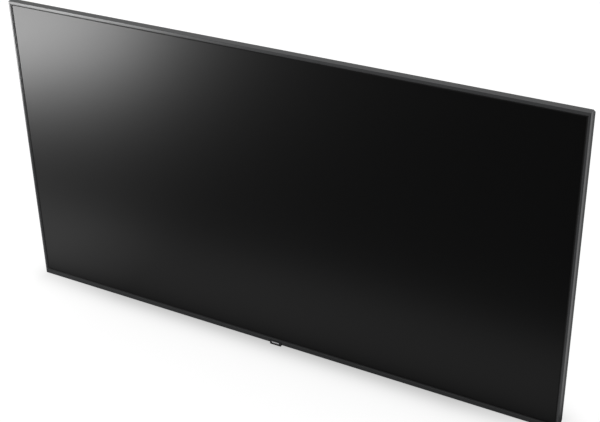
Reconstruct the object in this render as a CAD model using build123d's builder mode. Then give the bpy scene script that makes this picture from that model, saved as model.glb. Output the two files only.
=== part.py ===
"""Large wall-mounted digital signage display.

The display faces -Y with +Z up and +X to the viewer's right. The origin is the centre of the
wall-mount pattern, on the plane of the mount bushes' rear ends. Depths are measured rearwards
from the front of the frame, rises upwards from its lowest edge. Sizes are in millimetres.
"""
from build123d import *
import os

os.makedirs("parts", exist_ok=True)

# Whole display
outer_width = 1680.0
outer_height = 956.0
mount_depth = 60.0

# Frame rails, four mitred extrusions
frame_depth = 20.0
rail_wall = 2.0
lip_thickness = 2.0
side_lip = 5.6
top_lip = 8.6
bottom_lip = 14.6
lip_chamfer = 1.1
rail_edge_radius = 0.6
key_rib = 3.0
key_rib_thickness = 1.0
key_rib_depth = 9.0
key_channel = 5.0
key_arm = 42.0
key_play = 0.15

# Panel stack, front to back
gasket_thickness = 0.8
gasket_reach = 4.4
film_thickness = 0.25
cell_thickness = 1.4
cell_play = 1.0
cell_bottom_rise = 9.0
stack_play = 0.05
guide_flange = 1.2
guide_overlap = 4.0
guide_play = 0.5
guide_skirt = 2.0
guide_skirt_depth = 10.0
sheet_thickness = 0.25
diffuser_thickness = 2.0

# Backlight pan and what it holds in front
pan_inset = 8.0
pan_bottom_inset = 14.5
pan_sheet = 1.2
pan_ledge = 8.0
pan_depth = 15.0
pan_flange_gap = 0.3
pan_bead_width = 34.0
pan_bead_height = 2.4
pan_bead_rise = 320.0
flex_notch = 210.0
reflector_sheet = 0.5
reflector_slope = 18.0
bar_count = 6
bar_edge = 91.75
bar_width = 20.0
bar_end_gap = 82.0
bar_thickness = 1.2
lens_count = 8
lens_end_gap = 67.5
lens_radius = 8.0
lens_height = 5.0
lens_hole_play = 0.8
link_width = 6.0
link_thickness = 0.8
header_size = (12.0, 8.0)
header_play = 1.0
support_radius = 5.0
support_tip_radius = 1.5
support_lens_step = 3

# Wall-mount structure
vesa_spacing = 400.0
hat_width = 62.0
hat_height = 18.0
hat_length = 520.0
hat_sheet = 2.0
hat_flange = 14.0
bush_radius = 11.0
bush_core_radius = 3.4
bush_thread_depth = 18.0
bush_hole_play = 1.2
stand_span = 900.0
stand_spacing = 40.0
stand_rise = 62.0
stand_bush_radius = 7.0
stand_core_radius = 2.5

# Rear cover
cover_wall = 2.2
cover_setback = 0.4
cover_side_depth = 27.0
cover_shoulder = 19.0
cover_bottom_chamfer = 8.0
cover_side_chamfer = 3.0
plateau_width = 1420.0
plateau_height = 620.0
plateau_z = -25.0
plateau_taper = 26.0
plateau_gap = 2.0
stand_bush_proud = 0.5
vent_length = 34.0
vent_width = 4.0
vent_pitch = 11.0
vent_count = 22
shoulder_vent_length = 20.0
shoulder_vent_width = 5.0
shoulder_vent_pitch = 25.0
shoulder_vent_count = 25
grip_width = 30.0
grip_height = 116.0
grip_depth = 14.0
grip_inset = 70.0
cover_boss_radius = 5.0
cover_screw_radius = 1.6
cover_screw_head_radius = 3.6
cover_screw_head_depth = 2.6
cover_screw_pitch_x = 380.0
cover_screw_edge = 48.0
cover_screw_columns = 5
back_vent_reach = 480.0

# Connector bay and mains bay, both open to the rear and downwards
bay_ceiling_z = -110.0
bay_height = 92.0
bay_floor_depth = 33.0
bay_ramp = 26.0
signal_bay_x = 395.0
signal_bay_width = 300.0
mains_bay_x = -395.0
mains_bay_width = 150.0

# Panel drive: boards along the lower edge and films up to the cell
source_board_rise = 10.6
source_board_front = 7.2
source_board_rear = 15.6
source_board_length = 500.0
source_board_gap = 170.0
source_board_thickness = 1.0
film_width = 34.0
film_count = 5
film_sheet = 0.3
film_bend = 1.2
ribbon_width = 16.0
ribbon_sheet = 0.3
ribbon_depth = 27.6
ribbon_inset = 2.0
ribbon_bend = 3.0

# Leads held inside the housing
lead_radius = 1.0
lead_depth = 29.4
lead_bend = 80.0
lead_corner = 40.0
lead_elbow = 4.0
lead_entry = 2.0
lead_entry_rise = 16.0
lead_inset = 20.0
lead_spacing = 30.0
lead_crossing_rise = 178.0
power_lead_radius = 2.0
power_lead_bend = 9.0
power_lead_inset = 12.0
power_lead_rise = 10.0

# Boards
board_thickness = 1.6
board_depth = 32.0
standoff_radius = 3.0
standoff_hole_radius = 1.3
main_board_width = 290.0
main_board_height = 220.0
power_board_width = 290.0
power_board_height = 230.0
board_rise_over_bay = 4.0
timing_board_width = 220.0
timing_board_height = 84.0
timing_board_z = 30.0
board_edge_inset = 8.0
shield_height = 6.0
sink_width = 74.0
sink_base = 3.0
sink_fin_height = 11.0
sink_fin_thickness = 1.6
sink_fin_count = 9
screw_head_radius = 2.8
screw_head_height = 1.8
shield_size = 52.0
shield_wall = 0.8
transformer_size = 44.0
transformer_depth = 35.0
transformer_height = 22.0
transformer_pitch = 70.0
choke_size = 26.0
choke_height = 15.4
winding_corner = 2.0
capacitor_radius = 11.0
capacitor_height = 21.0
capacitor_count = 4
capacitor_pitch = 33.0
capacitor_inset = 85.0

# Sensor tab at the middle of the lower edge
tab_width = 36.0
tab_drop = 5.2
tab_rise = 8.5
tab_plate = 1.8
tab_depth = 27.0
tab_wall = 1.5
tab_corner = 2.0
tab_slot_width = 29.0
tab_slot_depth = 12.4
tab_slot_front = 5.2
inlay_width = 23.0
inlay_height = 4.0
inlay_rise = 3.4
inlay_thickness = 0.5
window_width = 30.0
window_height = 3.6
window_rise = -2.6
window_thickness = 1.2
tab_board_rise = 3.0
tab_board_thickness = 1.0
tab_post = 2.5
tab_post_length = 8.0
sensor_size = 4.0
sensor_height = 5.0
sensor_gap = 2.6
light_path_inset = 0.5

# Jog key under the tab
jog_depth = 11.4
jog_pivot_rise = -0.3
jog_pin_radius = 0.55
jog_pin_play = 0.06
jog_base_size = 11.6
jog_base_wall = 1.2
jog_base_roof = 1.0
jog_base_height = 5.4
jog_ring_radius = 4.2
jog_ring_bore = 3.0
jog_ring_height = 1.8
jog_ring_pin_reach = 5.5
jog_barrel_radius = 2.2
jog_barrel_pin_reach = 4.0
jog_shaft_radius = 1.0
jog_shaft_play = 0.08
jog_shaft_length = 3.7
jog_knob_radius = 5.0
jog_knob_height = 2.0
jog_knob_stem_radius = 2.1
jog_knob_stem_height = 2.2
jog_knob_proud = 1.0
jog_knob_floor = 0.7
jog_hole_play = 0.9

# Mains inlet and rocker switch
inlet_width = 27.2
inlet_height = 19.6
inlet_wall = 1.6
inlet_depth = 17.0
inlet_flange = 2.0
inlet_flange_width = 50.0
inlet_pin_width = 4.0
inlet_pin_thickness = 2.0
inlet_pin_length = 13.0
inlet_pin_spacing = 7.0
inlet_centre_gap = 34.0
rocker_width = 21.0
rocker_height = 15.0
rocker_wall = 1.3
rocker_depth = 12.0
rocker_play = 0.4
rocker_tilt = 10.0
rocker_pin_radius = 1.2
rocker_pin_play = 0.06
rocker_nose = 4.6
rocker_waist = 3.0
rocker_shoulder = 1.0
rocker_back = 3.4

# Sockets of the signal bay
nose = 2.0
socket_floor = 2.0
hdmi_size = (15.0, 6.0)
hdmi_hole = (14.0, 4.6)
displayport_size = (17.6, 6.4)
displayport_hole = (16.0, 4.9)
usb_size = (14.4, 7.2)
usb_hole = (12.6, 5.2)
lan_size = (16.0, 13.6)
lan_hole = (11.8, 9.6)
jack_size = (11.0, 11.0)
jack_radius = 1.8
socket_length = 16.0
tongue_thickness = 1.2
socket_pitch = 28.0
lan_pitch = 34.0
jack_pitch = 22.0
signal_window_width = 280.0
signal_window_play = 2.0
plate_overlap_x = 5.0
plate_overlap_y = 1.5
panel_sheet = 1.0
panel_play = 0.3

# Speakers
speaker_length = 230.0
speaker_height = 74.0
speaker_depth = 17.0
speaker_x = 610.0
speaker_rise = 8.0
speaker_wall = 2.0
driver_length = 96.0
driver_width = 13.0
grille_slot_length = 10.0
grille_slot_width = 3.0
grille_slot_pitch = 7.0
grille_slot_count = 14
driver_height = 9.0
driver_rim = 1.5
driver_dish = 3.0

# Values that follow from the sizes above
front_y = -mount_depth
bottom_z = -outer_height / 2
top_z = outer_height / 2
opening_width = outer_width - 2 * side_lip
opening_height = outer_height - top_lip - bottom_lip
opening_z = (bottom_lip - top_lip) / 2
gasket_depth = lip_thickness + gasket_thickness
film_depth = gasket_depth + film_thickness
cell_front_depth = film_depth + stack_play
cell_rear_depth = cell_front_depth + cell_thickness
guide_depth = cell_rear_depth + stack_play
sheet_one_depth = guide_depth + guide_flange + stack_play
sheet_two_depth = sheet_one_depth + sheet_thickness + stack_play
diffuser_front_depth = sheet_two_depth + sheet_thickness + stack_play
ledge_depth = diffuser_front_depth + diffuser_thickness + stack_play
pan_floor_depth = ledge_depth + pan_depth
pan_rear_depth = pan_floor_depth + pan_sheet
pan_width = outer_width - 2 * pan_inset
pan_height = outer_height - pan_inset - pan_bottom_inset
pan_z = (pan_bottom_inset - pan_inset) / 2
bar_front_depth = pan_floor_depth - bar_thickness
bar_length = pan_width - 2 * bar_end_gap
bar_pitch = (pan_height - 2 * bar_edge) / (bar_count - 1)
lens_pitch = (bar_length - 2 * lens_end_gap) / (lens_count - 1)
reflector_depth = bar_front_depth - reflector_sheet - stack_play
cover_front_depth = frame_depth
cover_flat_depth = frame_depth + cover_side_depth
plateau_depth = mount_depth - plateau_gap
hat_rear_depth = pan_rear_depth + hat_height
board_rear_depth = board_depth + board_thickness
tab_front_depth = -tab_plate
tab_bottom_rise = -tab_drop
main_board_z = bay_ceiling_z + board_rise_over_bay + main_board_height / 2
power_board_z = bay_ceiling_z + board_rise_over_bay + power_board_height / 2


def deep(depth):
    """Y of a point at a depth behind the front of the frame."""
    return depth - mount_depth


def risen(rise):
    """Z of a point above the lowest edge of the frame."""
    return bottom_z + rise


def facing(depth):
    """Plane of the screen at a depth, with its normal to the front."""
    return Plane.XZ.offset(mount_depth - depth)


def level(z):
    """Horizontal plane at a height, with its normal upwards."""
    return Plane.XY.offset(z)


def profile_across(x):
    """Upright plane across the width: local x runs rearwards, local y upwards."""
    return Plane(origin=(x, 0, 0), x_dir=(0, 1, 0), z_dir=(1, 0, 0))


def keep(piece, name):
    """Name a finished piece and write it to its own file."""
    piece.part.label = name
    export_step(piece.part, f"parts/{name}.step")


# Places that several pieces share

socket_row_x = signal_bay_x - signal_window_width / 2 + hdmi_size[0]
hdmi_xs = [socket_row_x + place * socket_pitch for place in range(3)]
displayport_xs = [hdmi_xs[2] + socket_pitch]
usb_xs = [displayport_xs[0] + socket_pitch, displayport_xs[0] + 2 * socket_pitch]
lan_xs = [usb_xs[1] + lan_pitch]
jack_xs = [lan_xs[0] + lan_pitch + place * jack_pitch for place in range(3)]
panel_z = bay_ceiling_z + cover_wall
nose_z = panel_z - nose
signal_window = (signal_window_width, lan_size[1] + 2 * signal_window_play)
signal_window_y = deep(board_rear_depth) + signal_window[1] / 2 - signal_window_play / 2
mains_window_y = deep(bay_floor_depth) + (plateau_depth - bay_floor_depth) / 2
inlet_x = mains_bay_x - inlet_centre_gap / 2
rocker_x = mains_bay_x + inlet_centre_gap
all_sockets = [
    (hdmi_xs, hdmi_size),
    (displayport_xs, displayport_size),
    (usb_xs, usb_size),
    (lan_xs, lan_size),
    (jack_xs, jack_size),
]

# Frame rails and corner keys


def mitre(side_x, side_z, lip):
    """Plane through the outer and inner corner of the frame, normal towards the side rail."""
    corner = (side_x * outer_width / 2, 0, side_z * outer_height / 2)
    return Plane(origin=corner, z_dir=(side_x * lip, 0, -side_z * side_lip))


def rail_points(lip):
    """Section of a rail: x runs inwards from the outer face, y rearwards from the front."""
    first_rib = key_rib_depth
    second_rib = key_rib_depth + key_rib_thickness + key_channel
    return [
        (0, 0),
        (lip - lip_chamfer, 0),
        (lip, lip_chamfer),
        (lip, lip_thickness),
        (rail_wall, lip_thickness),
        (rail_wall, first_rib),
        (rail_wall + key_rib, first_rib),
        (rail_wall + key_rib, first_rib + key_rib_thickness),
        (rail_wall, first_rib + key_rib_thickness),
        (rail_wall, second_rib),
        (rail_wall + key_rib, second_rib),
        (rail_wall + key_rib, second_rib + key_rib_thickness),
        (rail_wall, second_rib + key_rib_thickness),
        (rail_wall, frame_depth),
        (0, frame_depth),
    ]


def rail(origin, inwards, run, lip, length, cuts, side):
    """One extruded rail, cut at both ends by the mitre planes."""
    plane = Plane(origin=origin, x_dir=inwards, z_dir=run)
    with BuildPart() as bar:
        with BuildSketch(plane) as section:
            with BuildLine():
                Polyline(*rail_points(lip), close=True)
            make_face()
            outer_corner = section.vertices().sort_by_distance(origin)[0]
            fillet(outer_corner, rail_edge_radius)
        extrude(amount=length / 2, both=True)
        for cut in cuts:
            split(bisect_by=cut, keep=side)
    return bar


top_cuts = [mitre(-1, 1, top_lip), mitre(1, 1, top_lip)]
bottom_cuts = [mitre(-1, -1, bottom_lip), mitre(1, -1, bottom_lip)]
left_cuts = [mitre(-1, 1, top_lip), mitre(-1, -1, bottom_lip)]
right_cuts = [mitre(1, 1, top_lip), mitre(1, -1, bottom_lip)]

frame_rail_top = rail(
    (0, front_y, top_z), (0, 0, -1), (1, 0, 0), top_lip, outer_width, top_cuts, Keep.BOTTOM
)
frame_rail_left = rail(
    (-outer_width / 2, front_y, 0), (1, 0, 0), (0, 0, 1), side_lip, outer_height, left_cuts, Keep.TOP
)
frame_rail_right = rail(
    (outer_width / 2, front_y, 0), (-1, 0, 0), (0, 0, -1), side_lip, outer_height, right_cuts, Keep.TOP
)
bottom_blank = rail(
    (0, front_y, bottom_z), (0, 0, 1), (-1, 0, 0), bottom_lip, outer_width, bottom_cuts, Keep.BOTTOM
)

with BuildPart() as frame_rail_bottom:
    add(bottom_blank.part)
    # slot through the floor and ribs for the jog key and the sensor board
    with BuildSketch(level(bottom_z)):
        with Locations((0, deep(tab_slot_front + tab_slot_depth / 2))):
            Rectangle(tab_slot_width, tab_slot_depth)
    extrude(amount=rail_wall + key_rib, mode=Mode.SUBTRACT)

keep(frame_rail_top, "frame_rail_top")
keep(frame_rail_left, "frame_rail_left")
keep(frame_rail_right, "frame_rail_right")
keep(frame_rail_bottom, "frame_rail_bottom")

key_front = key_rib_depth + key_rib_thickness + key_play
key_width = key_channel - 2 * key_play
key_outset = rail_wall + key_play
key_thickness = key_rib - key_play

with BuildPart() as corner_keys:
    with BuildSketch(facing(key_front + key_width)):
        for side_x in (-1, 1):
            for side_z in (-1, 1):
                corner_x = side_x * (outer_width / 2 - key_outset)
                corner_z = side_z * (outer_height / 2 - key_outset)
                with BuildLine():
                    Polyline(
                        (corner_x, corner_z),
                        (corner_x - side_x * key_arm, corner_z),
                        (corner_x - side_x * key_arm, corner_z - side_z * key_thickness),
                        (corner_x - side_x * key_thickness, corner_z - side_z * key_thickness),
                        (corner_x - side_x * key_thickness, corner_z - side_z * key_arm),
                        (corner_x, corner_z - side_z * key_arm),
                        close=True,
                    )
                make_face()
    extrude(amount=key_width)
keep(corner_keys, "corner_keys")

# Panel stack


def ring(rear, thickness, outer, outer_z, inner, inner_z):
    """Flat rectangular ring parallel to the screen."""
    with BuildPart() as flat_ring:
        with BuildSketch(facing(rear)):
            with Locations((0, outer_z)):
                Rectangle(*outer)
            with Locations((0, inner_z)):
                Rectangle(*inner, mode=Mode.SUBTRACT)
        extrude(amount=thickness)
    return flat_ring


def slab(rear, thickness, size, middle_z):
    """Flat rectangular sheet parallel to the screen."""
    with BuildPart() as flat_sheet:
        with BuildSketch(facing(rear)):
            with Locations((0, middle_z)):
                Rectangle(*size)
        extrude(amount=thickness)
    return flat_sheet


inner_room = (outer_width - 2 * (rail_wall + guide_play), outer_height - 2 * (rail_wall + guide_play))
gasket_hole = (opening_width - 2 * gasket_reach, opening_height - 2 * gasket_reach)
panel_gasket = ring(gasket_depth, gasket_thickness, inner_room, 0, gasket_hole, opening_z)
keep(panel_gasket, "panel_gasket")

cell_width = outer_width - 2 * (rail_wall + cell_play)
cell_height = outer_height - rail_wall - cell_play - cell_bottom_rise
cell_z = (cell_bottom_rise - rail_wall - cell_play) / 2
cell_size = (cell_width, cell_height)
antiglare_film = slab(film_depth, film_thickness, cell_size, cell_z)
keep(antiglare_film, "antiglare_film")
lcd_cell = slab(cell_rear_depth, cell_thickness, cell_size, cell_z)
keep(lcd_cell, "lcd_cell")

guide_hole = (opening_width - 2 * guide_overlap, opening_height - 2 * guide_overlap)
skirt_outside = guide_play + guide_skirt

with BuildPart() as panel_guide:
    with BuildSketch(facing(guide_depth + guide_flange)):
        with Locations((0, cell_z)):
            Rectangle(*cell_size)
        with Locations((0, opening_z)):
            Rectangle(*guide_hole, mode=Mode.SUBTRACT)
    extrude(amount=guide_flange)
    with BuildSketch(facing(guide_depth + guide_flange + guide_skirt_depth)):
        with Locations((0, pan_z)):
            Rectangle(pan_width + 2 * skirt_outside, pan_height + 2 * skirt_outside)
            Rectangle(pan_width + 2 * guide_play, pan_height + 2 * guide_play, mode=Mode.SUBTRACT)
    extrude(amount=guide_skirt_depth)
keep(panel_guide, "panel_guide")

optics_size = (pan_width - 2 * stack_play, pan_height - 2 * stack_play)
diffuser_sheet = slab(sheet_one_depth + sheet_thickness, sheet_thickness, optics_size, pan_z)
keep(diffuser_sheet, "diffuser_sheet")
prism_sheet = slab(sheet_two_depth + sheet_thickness, sheet_thickness, optics_size, pan_z)
keep(prism_sheet, "prism_sheet")
diffuser_plate = slab(ledge_depth - stack_play, diffuser_thickness, optics_size, pan_z)
keep(diffuser_plate, "diffuser_plate")

# Backlight pan

rib_rear = key_rib_depth + 2 * key_rib_thickness + key_channel
flange_rear = rib_rear + pan_flange_gap + pan_sheet

bar_zs = [pan_z + (row - (bar_count - 1) / 2) * bar_pitch for row in range(bar_count)]
header_z = bar_zs[2]

with BuildPart() as backlight_pan:
    with BuildSketch(facing(pan_rear_depth)):
        with Locations((0, pan_z)):
            Rectangle(pan_width, pan_height)
    extrude(amount=pan_rear_depth - ledge_depth)
    with BuildSketch(facing(pan_floor_depth)):
        with Locations((0, pan_z)):
            Rectangle(pan_width - 2 * pan_sheet, pan_height - 2 * pan_sheet)
    extrude(amount=pan_floor_depth - ledge_depth - pan_sheet, mode=Mode.SUBTRACT)
    # window inside the ledge that carries the diffuser plate
    with BuildSketch(facing(ledge_depth + pan_sheet)):
        with Locations((0, pan_z)):
            Rectangle(pan_width - 2 * pan_ledge, pan_height - 2 * pan_ledge)
    extrude(amount=pan_sheet, mode=Mode.SUBTRACT)
    # outward flange that seats on the rear rib of the rails
    with BuildSketch(facing(flange_rear)):
        Rectangle(*inner_room)
        with Locations((0, pan_z)):
            Rectangle(pan_width - pan_sheet, pan_height - pan_sheet, mode=Mode.SUBTRACT)
        with Locations((0, bottom_z)):
            Rectangle(flex_notch, 2 * (pan_bottom_inset - guide_play), mode=Mode.SUBTRACT)
    extrude(amount=pan_sheet)
    # pressed stiffening beads
    with BuildSketch(facing(pan_rear_depth)):
        with Locations((0, pan_bead_rise), (0, -pan_bead_rise)):
            SlotOverall(pan_width - 4 * pan_bead_width, pan_bead_width)
    extrude(amount=-pan_bead_height)
    with BuildSketch(facing(pan_floor_depth)):
        with Locations((0, pan_bead_rise), (0, -pan_bead_rise)):
            SlotOverall(pan_width - 4 * pan_bead_width - 2 * pan_sheet, pan_bead_width - 2 * pan_sheet)
    extrude(amount=-pan_bead_height, mode=Mode.SUBTRACT)
    # hole for the plug that feeds the light bars
    with BuildSketch(facing(pan_rear_depth)):
        with Locations((mains_bay_x, header_z)):
            Rectangle(header_size[0] + 2 * header_play, header_size[1] + 2 * header_play)
    extrude(amount=pan_sheet, mode=Mode.SUBTRACT)
keep(backlight_pan, "backlight_pan")

lens_xs = [(column - (lens_count - 1) / 2) * lens_pitch for column in range(lens_count)]
bar_places = [(0, z) for z in bar_zs]
lens_places = [(x, z) for z in bar_zs for x in lens_xs]

with BuildPart() as led_bars:
    with BuildSketch(facing(pan_floor_depth)):
        with Locations(*bar_places):
            Rectangle(bar_length, bar_width)
    extrude(amount=bar_thickness)
keep(led_bars, "led_bars")

with BuildPart() as led_lenses:
    with BuildSketch(facing(bar_front_depth)):
        with Locations(*lens_places):
            RegularPolygon(lens_radius, 8)
    extrude(amount=lens_height, taper=24)
keep(led_lenses, "led_lenses")

tray_width = pan_width - 2 * (pan_sheet + stack_play)
tray_height = pan_height - 2 * (pan_sheet + stack_play)
tray_top_depth = ledge_depth + pan_sheet + stack_play


def tray_form(depth, shrink):
    """Tapered block between the reflector's floor and its rim."""
    floor_inset = reflector_slope + shrink
    with BuildPart() as block:
        with BuildSketch(facing(depth)):
            with Locations((0, pan_z)):
                Rectangle(tray_width - 2 * floor_inset, tray_height - 2 * floor_inset)
        with BuildSketch(facing(tray_top_depth)):
            with Locations((0, pan_z)):
                Rectangle(tray_width - 2 * shrink, tray_height - 2 * shrink)
        loft()
    return block


tray_outside = tray_form(reflector_depth + reflector_sheet, 0)
tray_inside = tray_form(reflector_depth, reflector_sheet)

with BuildPart() as reflector_tray:
    add(tray_outside.part)
    add(tray_inside.part, mode=Mode.SUBTRACT)
    with BuildSketch(facing(reflector_depth + reflector_sheet)):
        with Locations(*lens_places):
            RegularPolygon(lens_radius + lens_hole_play, 8)
    extrude(amount=reflector_sheet, mode=Mode.SUBTRACT)
keep(reflector_tray, "reflector_tray")

support_reach = support_lens_step * lens_pitch
support_xs = (-support_reach, 0, support_reach)
support_zs = (pan_z - bar_pitch, pan_z + bar_pitch)
support_places = [(x, z) for z in support_zs for x in support_xs]
support_length = reflector_depth - ledge_depth - 2 * stack_play

with BuildPart() as plate_supports:
    with BuildSketch(facing(reflector_depth)):
        with Locations(*support_places):
            Circle(support_radius)
    with BuildSketch(facing(reflector_depth - support_length)):
        with Locations(*support_places):
            Circle(support_tip_radius)
    outlines = list(plate_supports.pending_faces)
    plate_supports.pending_faces.clear()
    bases = outlines[: len(support_places)]
    tips = outlines[len(support_places) :]
    for base, tip in zip(bases, tips):
        loft([base, tip])
keep(plate_supports, "plate_supports")

# Wall-mount structure behind the pan

vesa_half = vesa_spacing / 2
vesa_places = [(side_x * vesa_half, side_z * vesa_half) for side_z in (-1, 1) for side_x in (-1, 1)]
stand_zs = (risen(stand_rise), risen(stand_rise + stand_spacing))
stand_places = [(x, z) for z in stand_zs for x in (-stand_span / 2, stand_span / 2)]

with BuildPart() as mount_rails:
    with BuildSketch(Plane.XY.offset(-hat_length / 2)):
        for middle in (-vesa_half, vesa_half):
            half = hat_width / 2
            foot = deep(pan_rear_depth)
            crown = deep(hat_rear_depth)
            with BuildLine():
                Polyline(
                    (middle - half - hat_flange, foot),
                    (middle - half + hat_sheet, foot),
                    (middle - half + hat_sheet, crown - hat_sheet),
                    (middle + half - hat_sheet, crown - hat_sheet),
                    (middle + half - hat_sheet, foot),
                    (middle + half + hat_flange, foot),
                    (middle + half + hat_flange, foot + hat_sheet),
                    (middle + half, foot + hat_sheet),
                    (middle + half, crown),
                    (middle - half, crown),
                    (middle - half, foot + hat_sheet),
                    (middle - half - hat_flange, foot + hat_sheet),
                    close=True,
                )
            make_face()
    extrude(amount=hat_length)
    # the beads of the pan pass under the rails
    with BuildSketch(facing(pan_rear_depth)):
        with Locations((0, pan_bead_rise), (0, -pan_bead_rise)):
            Rectangle(outer_width, pan_bead_width + 2 * pan_flange_gap)
    extrude(amount=-pan_bead_height - pan_flange_gap, mode=Mode.SUBTRACT)
keep(mount_rails, "mount_rails")

with BuildPart() as mount_bushes:
    with BuildSketch(facing(mount_depth)):
        with Locations(*vesa_places):
            Circle(bush_radius)
    extrude(amount=mount_depth - hat_rear_depth)
    with Locations(Plane(origin=(0, 0, 0), x_dir=(1, 0, 0), z_dir=(0, 1, 0))):
        with Locations(*vesa_places):
            Hole(bush_core_radius, bush_thread_depth)
keep(mount_bushes, "mount_bushes")

with BuildPart() as stand_bushes:
    with BuildSketch(facing(cover_flat_depth + stand_bush_proud)):
        with Locations(*stand_places):
            Circle(stand_bush_radius)
            Circle(stand_core_radius, mode=Mode.SUBTRACT)
    extrude(amount=cover_flat_depth + stand_bush_proud - pan_rear_depth)
keep(stand_bushes, "stand_bushes")

# Rear cover: a moulded shell with a sloped top shoulder, a raised back and recessed bays

cover_bottom = bottom_z + cover_setback
cover_top = top_z - cover_setback
cover_half = outer_width / 2 - cover_setback
bay_bottom_z = bay_ceiling_z - bay_height
bays = [(signal_bay_x, signal_bay_width), (mains_bay_x, mains_bay_width)]
grip_x = plateau_width / 2 - grip_inset


def bay_prism(middle, width):
    """Recess of a bay, its lower side a ramp for the leads."""
    with BuildPart() as recess:
        with BuildSketch(profile_across(middle - width / 2)):
            with BuildLine():
                Polyline(
                    (deep(bay_floor_depth), bay_ceiling_z),
                    (deep(mount_depth), bay_ceiling_z),
                    (deep(mount_depth), bay_bottom_z - bay_ramp),
                    (deep(bay_floor_depth), bay_bottom_z),
                    close=True,
                )
            make_face()
        extrude(amount=width)
    return recess


signal_recess = bay_prism(signal_bay_x, signal_bay_width)
mains_recess = bay_prism(mains_bay_x, mains_bay_width)

with BuildPart() as cover_form:
    # body with straight sides and a sloped top shoulder
    with BuildSketch(profile_across(-cover_half)):
        with BuildLine():
            Polyline(
                (deep(cover_front_depth), cover_bottom),
                (deep(cover_front_depth), cover_top),
                (deep(cover_flat_depth), cover_top - cover_shoulder),
                (deep(cover_flat_depth), cover_bottom + cover_bottom_chamfer),
                (deep(cover_flat_depth - cover_bottom_chamfer), cover_bottom),
                close=True,
            )
        make_face()
    extrude(amount=2 * cover_half)
    rear_side_edges = cover_form.edges().filter_by(Axis.Z).group_by(Axis.Y)[-1]
    chamfer(rear_side_edges, cover_side_chamfer)
    # raised back
    with BuildSketch(facing(cover_flat_depth)):
        with Locations((0, plateau_z)):
            Rectangle(plateau_width, plateau_height)
    with BuildSketch(facing(plateau_depth)):
        with Locations((0, plateau_z)):
            Rectangle(plateau_width - 2 * plateau_taper, plateau_height - 2 * plateau_taper)
    loft()
    add(signal_recess.part, mode=Mode.SUBTRACT)
    add(mains_recess.part, mode=Mode.SUBTRACT)
    # grip recesses at both ends of the raised back
    with BuildSketch(facing(plateau_depth)):
        with Locations((grip_x, plateau_z), (-grip_x, plateau_z)):
            Rectangle(grip_width, grip_height)
    extrude(amount=grip_depth, mode=Mode.SUBTRACT)



def spread(count, pitch):
    """Places in a row, evenly pitched about zero."""
    return [(place - (count - 1) / 2) * pitch for place in range(count)]


cover_screw_xs = spread(cover_screw_columns, cover_screw_pitch_x)
cover_screw_zs = (cover_bottom + cover_screw_edge, cover_top - cover_shoulder - cover_screw_edge)
cover_screw_places = [(x, z) for z in cover_screw_zs for x in cover_screw_xs]
vent_xs = spread(vent_count, vent_pitch)
shoulder_vent_places = [
    (x, cover_top - cover_shoulder / 2) for x in spread(shoulder_vent_count, shoulder_vent_pitch)
]
back_vent_z = plateau_z + plateau_height / 2 - plateau_taper - vent_length
back_vent_places = [(side * back_vent_reach + x, back_vent_z) for side in (-1, 1) for x in vent_xs]
grille_y = deep((cover_front_depth + cover_flat_depth) / 2)
grille_xs = spread(grille_slot_count, grille_slot_pitch)
grille_places = [(side * speaker_x + x, grille_y) for side in (-1, 1) for x in grille_xs]

with BuildPart() as rear_cover:
    add(cover_form.part)
    front_face = rear_cover.faces().filter_by(Axis.Y).sort_by(Axis.Y)[0]
    offset(amount=-cover_wall, openings=front_face, kind=Kind.INTERSECTION)
    # bosses that carry the cover's screws down to the pan
    with BuildSketch(facing(pan_rear_depth + pan_flange_gap)):
        with Locations(*cover_screw_places):
            Circle(cover_boss_radius)
    extrude(amount=-(cover_flat_depth - cover_wall / 2 - pan_rear_depth - pan_flange_gap))
    with BuildSketch(facing(cover_flat_depth)):
        with Locations(*cover_screw_places):
            Circle(cover_screw_head_radius)
    extrude(amount=cover_screw_head_depth, mode=Mode.SUBTRACT)
    with BuildSketch(facing(cover_flat_depth)):
        with Locations(*cover_screw_places):
            Circle(cover_screw_radius)
    extrude(amount=cover_flat_depth - pan_rear_depth, mode=Mode.SUBTRACT)
    # clearance holes for the mount bushes and the stand bushes
    with BuildSketch(facing(plateau_depth)):
        with Locations(*vesa_places):
            Circle(bush_radius + bush_hole_play)
    extrude(amount=cover_wall, mode=Mode.SUBTRACT)
    with BuildSketch(facing(cover_flat_depth)):
        with Locations(*stand_places):
            Circle(stand_bush_radius + bush_hole_play)
    extrude(amount=cover_wall, mode=Mode.SUBTRACT)
    # vents through the sloped shoulder
    with BuildSketch(facing(cover_flat_depth)):
        with Locations(*shoulder_vent_places):
            Rectangle(shoulder_vent_length, shoulder_vent_width)
    extrude(amount=cover_side_depth, mode=Mode.SUBTRACT)
    # upright vents in the raised back
    with BuildSketch(facing(plateau_depth)):
        with Locations(*back_vent_places):
            Rectangle(vent_width, vent_length)
    extrude(amount=cover_wall, mode=Mode.SUBTRACT)
    # windows in the bays' ceilings
    with BuildSketch(level(bay_ceiling_z)):
        with Locations((signal_bay_x, signal_window_y)):
            Rectangle(*signal_window)
        with Locations((inlet_x, mains_window_y)):
            Rectangle(inlet_width + 2 * panel_play, inlet_height + 2 * panel_play)
        with Locations((rocker_x, mains_window_y)):
            Rectangle(rocker_width + 2 * panel_play, rocker_height + 2 * panel_play)
    extrude(amount=cover_wall, mode=Mode.SUBTRACT)
    # grilles under the speakers
    with BuildSketch(level(cover_bottom)):
        with Locations(*grille_places):
            Rectangle(grille_slot_width, grille_slot_length)
    extrude(amount=cover_wall, mode=Mode.SUBTRACT)
keep(rear_cover, "rear_cover")

# Panel drive: source boards, films up to the cell, timing board

source_middle = (source_board_gap + source_board_length) / 2
source_floor = risen(source_board_rise)
source_y = deep((source_board_front + source_board_rear) / 2)
cell_edge = risen(cell_bottom_rise) - 2 * stack_play

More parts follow.
